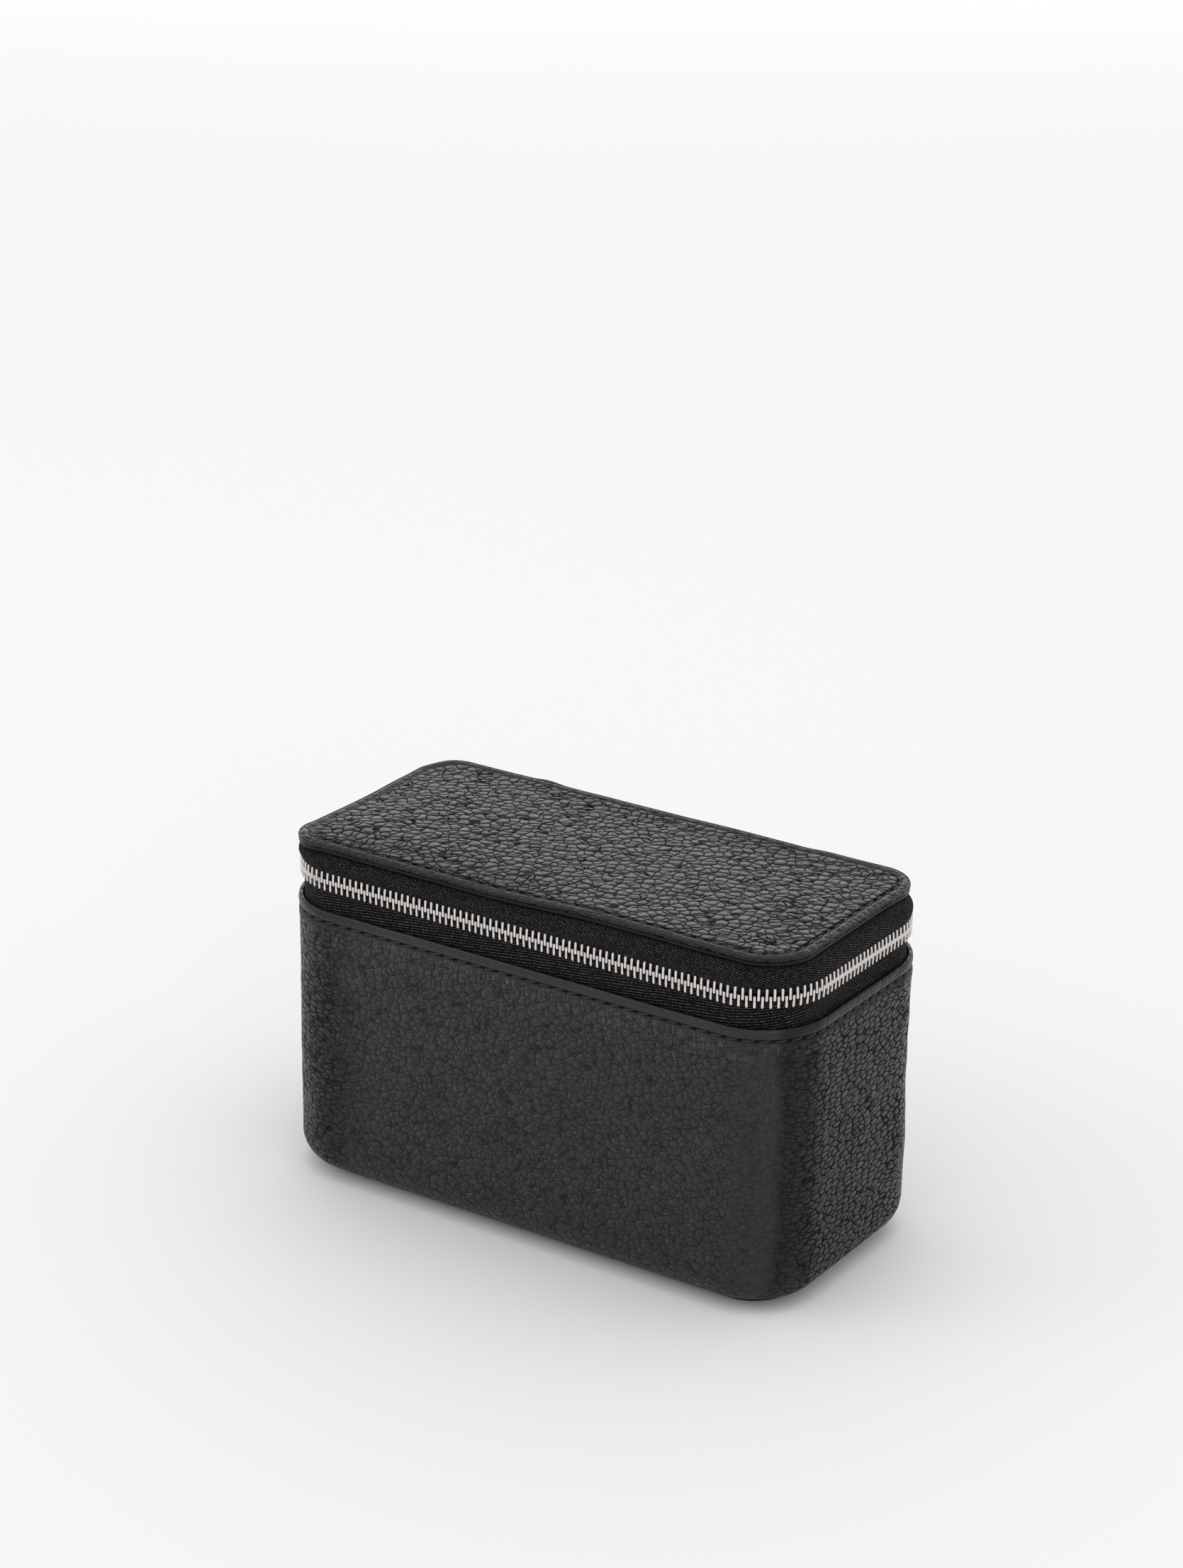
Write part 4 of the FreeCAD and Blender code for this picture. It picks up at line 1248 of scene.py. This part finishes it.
def lid_skin(name, low, high, ease_top, ease_low, step_in, sewn):
    """One layer of the lid: a filled rounded panel with eased edges."""
    work = bmesh.new()
    work.loops.layers.uv.new("lay")
    rows = [(step_in + ease_low + 6, low), (step_in + ease_low, low)]
    rows += arc_rows((step_in + ease_low, low + ease_low), ease_low, 250, 180, 3)
    rows += arc_rows((step_in + ease_top, high - ease_top), ease_top, 180, 90, 5)
    rows += [(step_in + ease_top + d, high) for d in (0.35, 0.7, 1.05, 1.4, 1.7, 2.0, 2.3, 2.6, 3.0, 3.5,
        4.2, 5.0, 6.0, 7.2, 8.6, 10.0)]
    rings = []
    for st in lid_stations:
        s, x, y, nx, ny = st
        wander = edge_wander(st)
        ring = []
        for inset, z in rows:
            hold = 1 - between(inset, 1.0, 10.0)
            d = wander * hold - inset
            px, py = x + nx * d, y + ny * d
            up = lid_lie(px, py)
            if sewn and z > high - 0.05:
                along = abs((s / lid_around * lid_sewn + 0.1) % 1 - 0.5) * 2
                up -= 0.3 * bump_at(inset, lid_stitch_inset, 0.55) * (0.7 + 0.5 * along**3)
                up += 0.14 * bump_at(inset, 1.3, 0.7) + 0.16 * bump_at(inset, 4.4, 1.2)
                up -= 0.25 * (1 - between(inset, 0.4, 1.6))
            ring.append(work.verts.new(Vector((px, py, z + up)) * mm))
        rings.append(ring)
    for i, ring in enumerate(rings):
        following = rings[(i + 1) % len(rings)]
        for j in range(len(rows) - 1):
            work.faces.new((ring[j], ring[j + 1], following[j + 1], following[j]))
    work.faces.new([ring[0] for ring in rings])
    rim_loop = [ring[-1] for ring in rings]
    work.faces.new(rim_loop)
    bmesh.ops.recalc_face_normals(work, faces=work.faces)
    mesh = bpy.data.meshes.new(name)
    work.to_mesh(mesh)
    work.free()
    piece = bpy.data.objects.new(name, mesh)
    bpy.context.scene.collection.objects.link(piece)
    return piece


lid_calf_skin = lid_skin("lid_skin", lid_low.z + 0.04, lid_top, 0.5, 0.25, 0.0, True)


def fill_field(piece, size):
    """Cuts the one big face of the lid's top into a lattice that can rise and fall."""
    work = bmesh.new()
    work.from_mesh(piece.data)
    top = max((f for f in work.faces if f.normal.z > 0.5), key=lambda f: f.calc_area())
    loop = [v for v in top.verts]
    xs = [v.co.x for v in loop]
    ys = [v.co.y for v in loop]
    bmesh.ops.delete(work, geom=[top], context="FACES_ONLY")
    grid = []
    nx, ny = int((max(xs) - min(xs)) / size), int((max(ys) - min(ys)) / size)
    margin = size * 0.9
    for i in range(nx + 1):
        line = []
        for j in range(ny + 1):
            x = min(xs) + margin + (max(xs) - min(xs) - 2 * margin) * i / nx
            y = min(ys) + margin + (max(ys) - min(ys) - 2 * margin) * j / ny
            line.append(work.verts.new((x, y, (lid_top + lid_lie(x / mm, y / mm)) * mm)))
        grid.append(line)
    for i in range(nx):
        for j in range(ny):
            work.faces.new((grid[i][j], grid[i + 1][j], grid[i + 1][j + 1], grid[i][j + 1]))
    rim_edges = [e for e in work.edges if e.is_boundary]
    bmesh.ops.bridge_loops(work, edges=rim_edges)
    bmesh.ops.recalc_face_normals(work, faces=work.faces)
    work.to_mesh(piece.data)
    work.free()


fill_field(lid_calf_skin, 2.5 * mm)
lid_calf_skin.data.polygons.foreach_set("use_smooth", [True] * len(lid_calf_skin.data.polygons))


def lid_slack(x, y, z):
    cx, cy = lid_length / 2 - lid_corner, lid_depth / 2 - lid_corner
    dx, dy = abs(x) - cx, abs(y) - cy
    if dx > 0 and dy > 0:
        edge = lid_corner - math.hypot(dx, dy)
    else:
        edge = min(lid_length / 2 - abs(x), lid_depth / 2 - abs(y))
    return 0.14 + 0.86 * between(edge, 2.4, 3.6) if z - lid_lie(x, y) > lid_top - 0.9 else 0.12


mark_grain(lid_calf_skin, lambda x, y, z: 1, lid_slack)
lid_calf = calf("lid_calf", (2.6, 2.4, 2.5), (0, 0, 8), 2.3, folds=((7.5, 0.5, 7.5), (0, 0, -32)),
    width=0.085, shine=0.31)
lid_calf.dress(lid_calf_skin)
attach(lid_calf_skin, "lid")
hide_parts("lid_leather")

backing_skin = lid_skin("lid_backing_skin", backing_level + 0.02, lid_low.z - 0.02, 0.25, 0.35, 0.1, False)
mark_grain(backing_skin, lambda x, y, z: 1, lambda x, y, z: 0.1)
edge_paint = calf("edge_paint", (1.0, 1.0, 1.0), (0, 0, 0), 0.06, shine=0.2)
edge_paint.dress(backing_skin)
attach(backing_skin, "lid")
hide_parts("lid_backing")

stitch_long, stitch_wide = 3.0, 0.6
lid_spots = []
for n in range(lid_sewn):
    st = lid_stations[n * 5 + 2]
    s, x, y, nx, ny = st
    out = Vector((nx, ny, 0))
    hold = 1 - between(lid_stitch_inset, 1.0, 10.0)
    spot = Vector((x, y, 0)) + out * (edge_wander(st) * hold - lid_stitch_inset)
    spot.z = lid_top + lid_lie(spot.x, spot.y) - 0.1
    lid_spots.append((spot, Vector((ny, -nx, 0)), upright))
stitch_group("lid_thread", lid_spots, "lid", "lid_stitches")

# Lid lining and its cushion. A card covered in microsuede hides the glued
# cloth inside the lid, with a thin foam pad over it to hold the jewellery still.
card_low, card_high = (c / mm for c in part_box("lid_lining"))
card_corner = 8.5
card_length, card_depth = card_high.x - card_low.x, card_high.y - card_low.y
card_around = way_round(card_length, card_depth, card_corner)
card_rows = [(6, card_high.z - 0.02), (0.4, card_high.z - 0.02)]
card_rows += arc_rows((0.4, card_high.z - 0.42), 0.4, 90, 180, 3)
card_rows += arc_rows((0.6, card_low.z + 0.6), 0.6, 180, 270, 4)
card_rows += [(1.6, card_low.z), (3, card_low.z), (8, card_low.z)]
lid_card = closed_board(
    "lid_card",
    [station_at(card_length, card_depth, card_corner, card_around * n / 240) for n in range(240)],
    card_rows,
    lambda st, inset, z: (0, -0.85 * lid_droop(st[1] - st[3] * inset, st[2] - st[4] * inset)),
    around=card_around,
)
lid_card.data.polygons.foreach_set("use_smooth", [True] * len(lid_card.data.polygons))
suede.dress(lid_card)
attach(lid_card, "lid")
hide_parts("lid_lining")
pad_corner = 6.0
crowned_pad("lid_cushion", "lid_pad", True, "lid")

# Tray. Board walls, floor and partitions wrapped in microsuede, with a ribbon
# loop on the partition beside the rolls to lift it out by.
wall_low, wall_high = (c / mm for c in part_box("tray_wall"))
floor_low, floor_high = (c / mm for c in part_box("tray_floor"))
tray_inset = (case_length - (wall_high.x - wall_low.x)) / 2
wall_thick = 2.2
wall_rows = [(tray_inset, floor_high.z)] + [(tray_inset, z) for z in steps(floor_high.z,
    wall_high.z - 0.8, 3)]
wall_rows += arc_rows((tray_inset + wall_thick / 2, wall_high.z - wall_thick / 2), wall_thick / 2, 180,
    0, 9)
wall_rows += [(tray_inset + wall_thick, z) for z in steps(wall_high.z - 1.1, floor_high.z, 3)]
wall_rows += [(tray_inset + wall_thick, floor_high.z)]


def wall_slack(station, inset, z):
    return (0.1 * soft(station[0], z, 6.0, 8) - 0.08) * (1 if inset < tray_inset + 1 else -1), 0


round_case = [station_at(case_length, case_depth, corner, body_around * n / 280) for n in range(280)]
tray_sides = sweep("tray_sides", round_case, wall_rows, wall_slack, around=body_around)
floor_rows = [(tray_inset + 8, floor_low.z)] + arc_rows((tray_inset + 0.5, floor_low.z + 0.5), 0.5, 270,
    180, 3)
floor_rows += arc_rows((tray_inset + 0.3, floor_high.z - 0.3), 0.3, 180, 90,
    3) + [(tray_inset + 8, floor_high.z)]
tray_base = closed_board("tray_base", round_case, floor_rows, around=body_around)
for piece, node in ((tray_sides, "tray_wall"), (tray_base, "tray_floor")):
    suede.dress(piece)
    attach(piece, "tray")
    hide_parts(node)
covered_board("roll_partition", "tray_divider_rolls", 0.05, "tray", suede)
covered_board("middle_partition", "tray_divider_middle", 0.05, "tray", suede)

loop_low, loop_high = (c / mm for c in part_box("tray_lift_loop"))
ribbon = Finish("ribbon")
ribs = ribbon.add("TexWave", {"bands_direction": "Z"}, Vector=ribbon.place((0.9, 0.9, 0.9)),
    Scale=1.0).outputs["Fac"]
ribbon.put(ribbon.skin.inputs["Base Color"], ribbon.tint(ribs, (0.012, 0.012, 0.013, 1),
    (0.04, 0.04, 0.043, 1)))
ribbon.put(ribbon.skin.inputs["Normal"], ribbon.relief(ribs, 0.08, 0.7))
ribbon.skin.inputs["Roughness"].default_value = 0.42
ribbon.skin.inputs["Sheen Weight"].default_value = 0.2
loop_x = (loop_low.x + loop_high.x) / 2
loop_half = (loop_high.x - loop_low.x) / 2 - 0.05
loop_points = []
for n in range(25):
    a = math.pi * n / 24
    loop_points.append((loop_half * math.cos(a),
        loop_high.z - loop_half * 0.9 + loop_half * 0.9 * math.sin(a)))
loop_points = (
    [(loop_half, z) for z in [loop_low.z] + steps(loop_low.z, loop_high.z - 1.8, 1.2)]
    + loop_points
    + [(-loop_half, z) for z in steps(loop_high.z - 1.8, loop_low.z, 1.2) + [loop_low.z]]
)
loop_mesh = bpy.data.meshes.new("lift_ribbon")
loop_verts, loop_faces = [], []
across_cuts = 9
for layer in (0, 0.6):
    for px, pz in loop_points:
        for c in range(across_cuts):
            t = -1 + 2 * c / (across_cuts - 1)
            y = t * (loop_high.y - loop_low.y) / 2
            inward = layer + 0.12 * t * t * between(pz, loop_high.z - 6, loop_high.z)
            x = px - math.copysign(min(inward, abs(px)), px)
            z = pz - (inward if abs(px) < loop_half * 0.5 else 0)
            loop_verts.append(((loop_x + x) * mm, y * mm, z * mm))
rows_in_loop = len(loop_points)
for layer in (0, 1):
    base = layer * rows_in_loop * across_cuts
    for j in range(rows_in_loop - 1):
        for i in range(across_cuts - 1):
            a = base + j * across_cuts + i
            loop_faces.append((a, a + 1, a + across_cuts + 1, a + across_cuts))
inner = rows_in_loop * across_cuts
for j in range(rows_in_loop - 1):
    for i in (0, across_cuts - 1):
        a = j * across_cuts + i
        loop_faces.append((a, a + across_cuts, inner + a + across_cuts, inner + a))
for j in (0, rows_in_loop - 1):
    for i in range(across_cuts - 1):
        a = j * across_cuts + i
        loop_faces.append((a, a + 1, inner + a + 1, inner + a))
loop_mesh.from_pydata(loop_verts, [], loop_faces)
turn_faces_out(loop_mesh)
loop_mesh.polygons.foreach_set("use_smooth", [True] * len(loop_faces))
lift_ribbon = bpy.data.objects.new("lift_ribbon", loop_mesh)
bpy.context.scene.collection.objects.link(lift_ribbon)
ribbon.dress(lift_ribbon)
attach(lift_ribbon, "tray")
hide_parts("tray_lift_loop")

# Ring rolls. Four foam bars wrapped in microsuede and packed side by side, so
# a ring stands in the groove between two of them.
for number in range(1, 5):
    node = f"ring_roll_{number}"
    low, high = (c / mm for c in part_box(node))
    width, depth, tall = high.x - low.x, high.y - low.y, high.z - low.z
    shoulder = high.z - width / 2
    section = [(-1, low.z), (-1, (low.z + shoulder) / 2), (-1, shoulder)]
    section += [(-math.cos(math.pi * n / 14),
        shoulder + width / 2 * math.sin(math.pi * n / 14)) for n in range(1, 14)]
    section += [(1, shoulder), (1, (low.z + shoulder) / 2), (1, low.z), (0.4, low.z), (-0.4, low.z)]
    mesh = bpy.data.meshes.new(f"ring_bar_{number}")
    points, faces = [], []
    cuts = 28
    for c in range(cuts + 1):
        t = -1 + 2 * c / cuts
        end = between(1 - abs(t), 0, 0.09)
        for side, z in section:
            snug = 0.9 + 0.1 * end
            x = (low.x + high.x) / 2 + side * width / 2 * 0.985 * snug
            y = (low.y + high.y) / 2 + t * depth / 2
            if number == 1:
                over = max(abs(y) - (depth / 2 - 9), 0) / 9
                x += (1 - side) / 2 * over**2 * 3.5
            pucker = 0.18 * soft(x * 2.0, y, z * 2.0, 6) + 0.2 * soft(x, y * 2.5, number * 9.0,
                11) * (z > shoulder)
            lift = (z - low.z) / tall
            points.append(((x + pucker * 0.3) * mm, y * mm,
                (low.z + (z - low.z) * (0.94 + 0.06 * end) + pucker * lift - 0.12 * lift) * mm))
    wide = len(section)
    for c in range(cuts):
        for r in range(wide):
            q = (r + 1) % wide
            faces.append((c * wide + r, c * wide + q, (c + 1) * wide + q, (c + 1) * wide + r))
    faces.append(tuple(range(wide - 1, -1, -1)))
    faces.append(tuple(cuts * wide + r for r in range(wide)))
    mesh.from_pydata(points, [], faces)
    turn_faces_out(mesh)
    bar = bpy.data.objects.new(f"ring_bar_{number}", mesh)
    bpy.context.scene.collection.objects.link(bar)
    bevel = bar.modifiers.new("end", "BEVEL")
    bevel.width = 0.9 * mm
    bevel.segments = 3
    bevel.limit_method = "ANGLE"
    bevel.angle_limit = math.radians(55)
    settle(bar)
    bar.data.polygons.foreach_set("use_smooth", [True] * len(bar.data.polygons))
    suede.dress(bar)
    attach(bar, "tray")
    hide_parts(node)
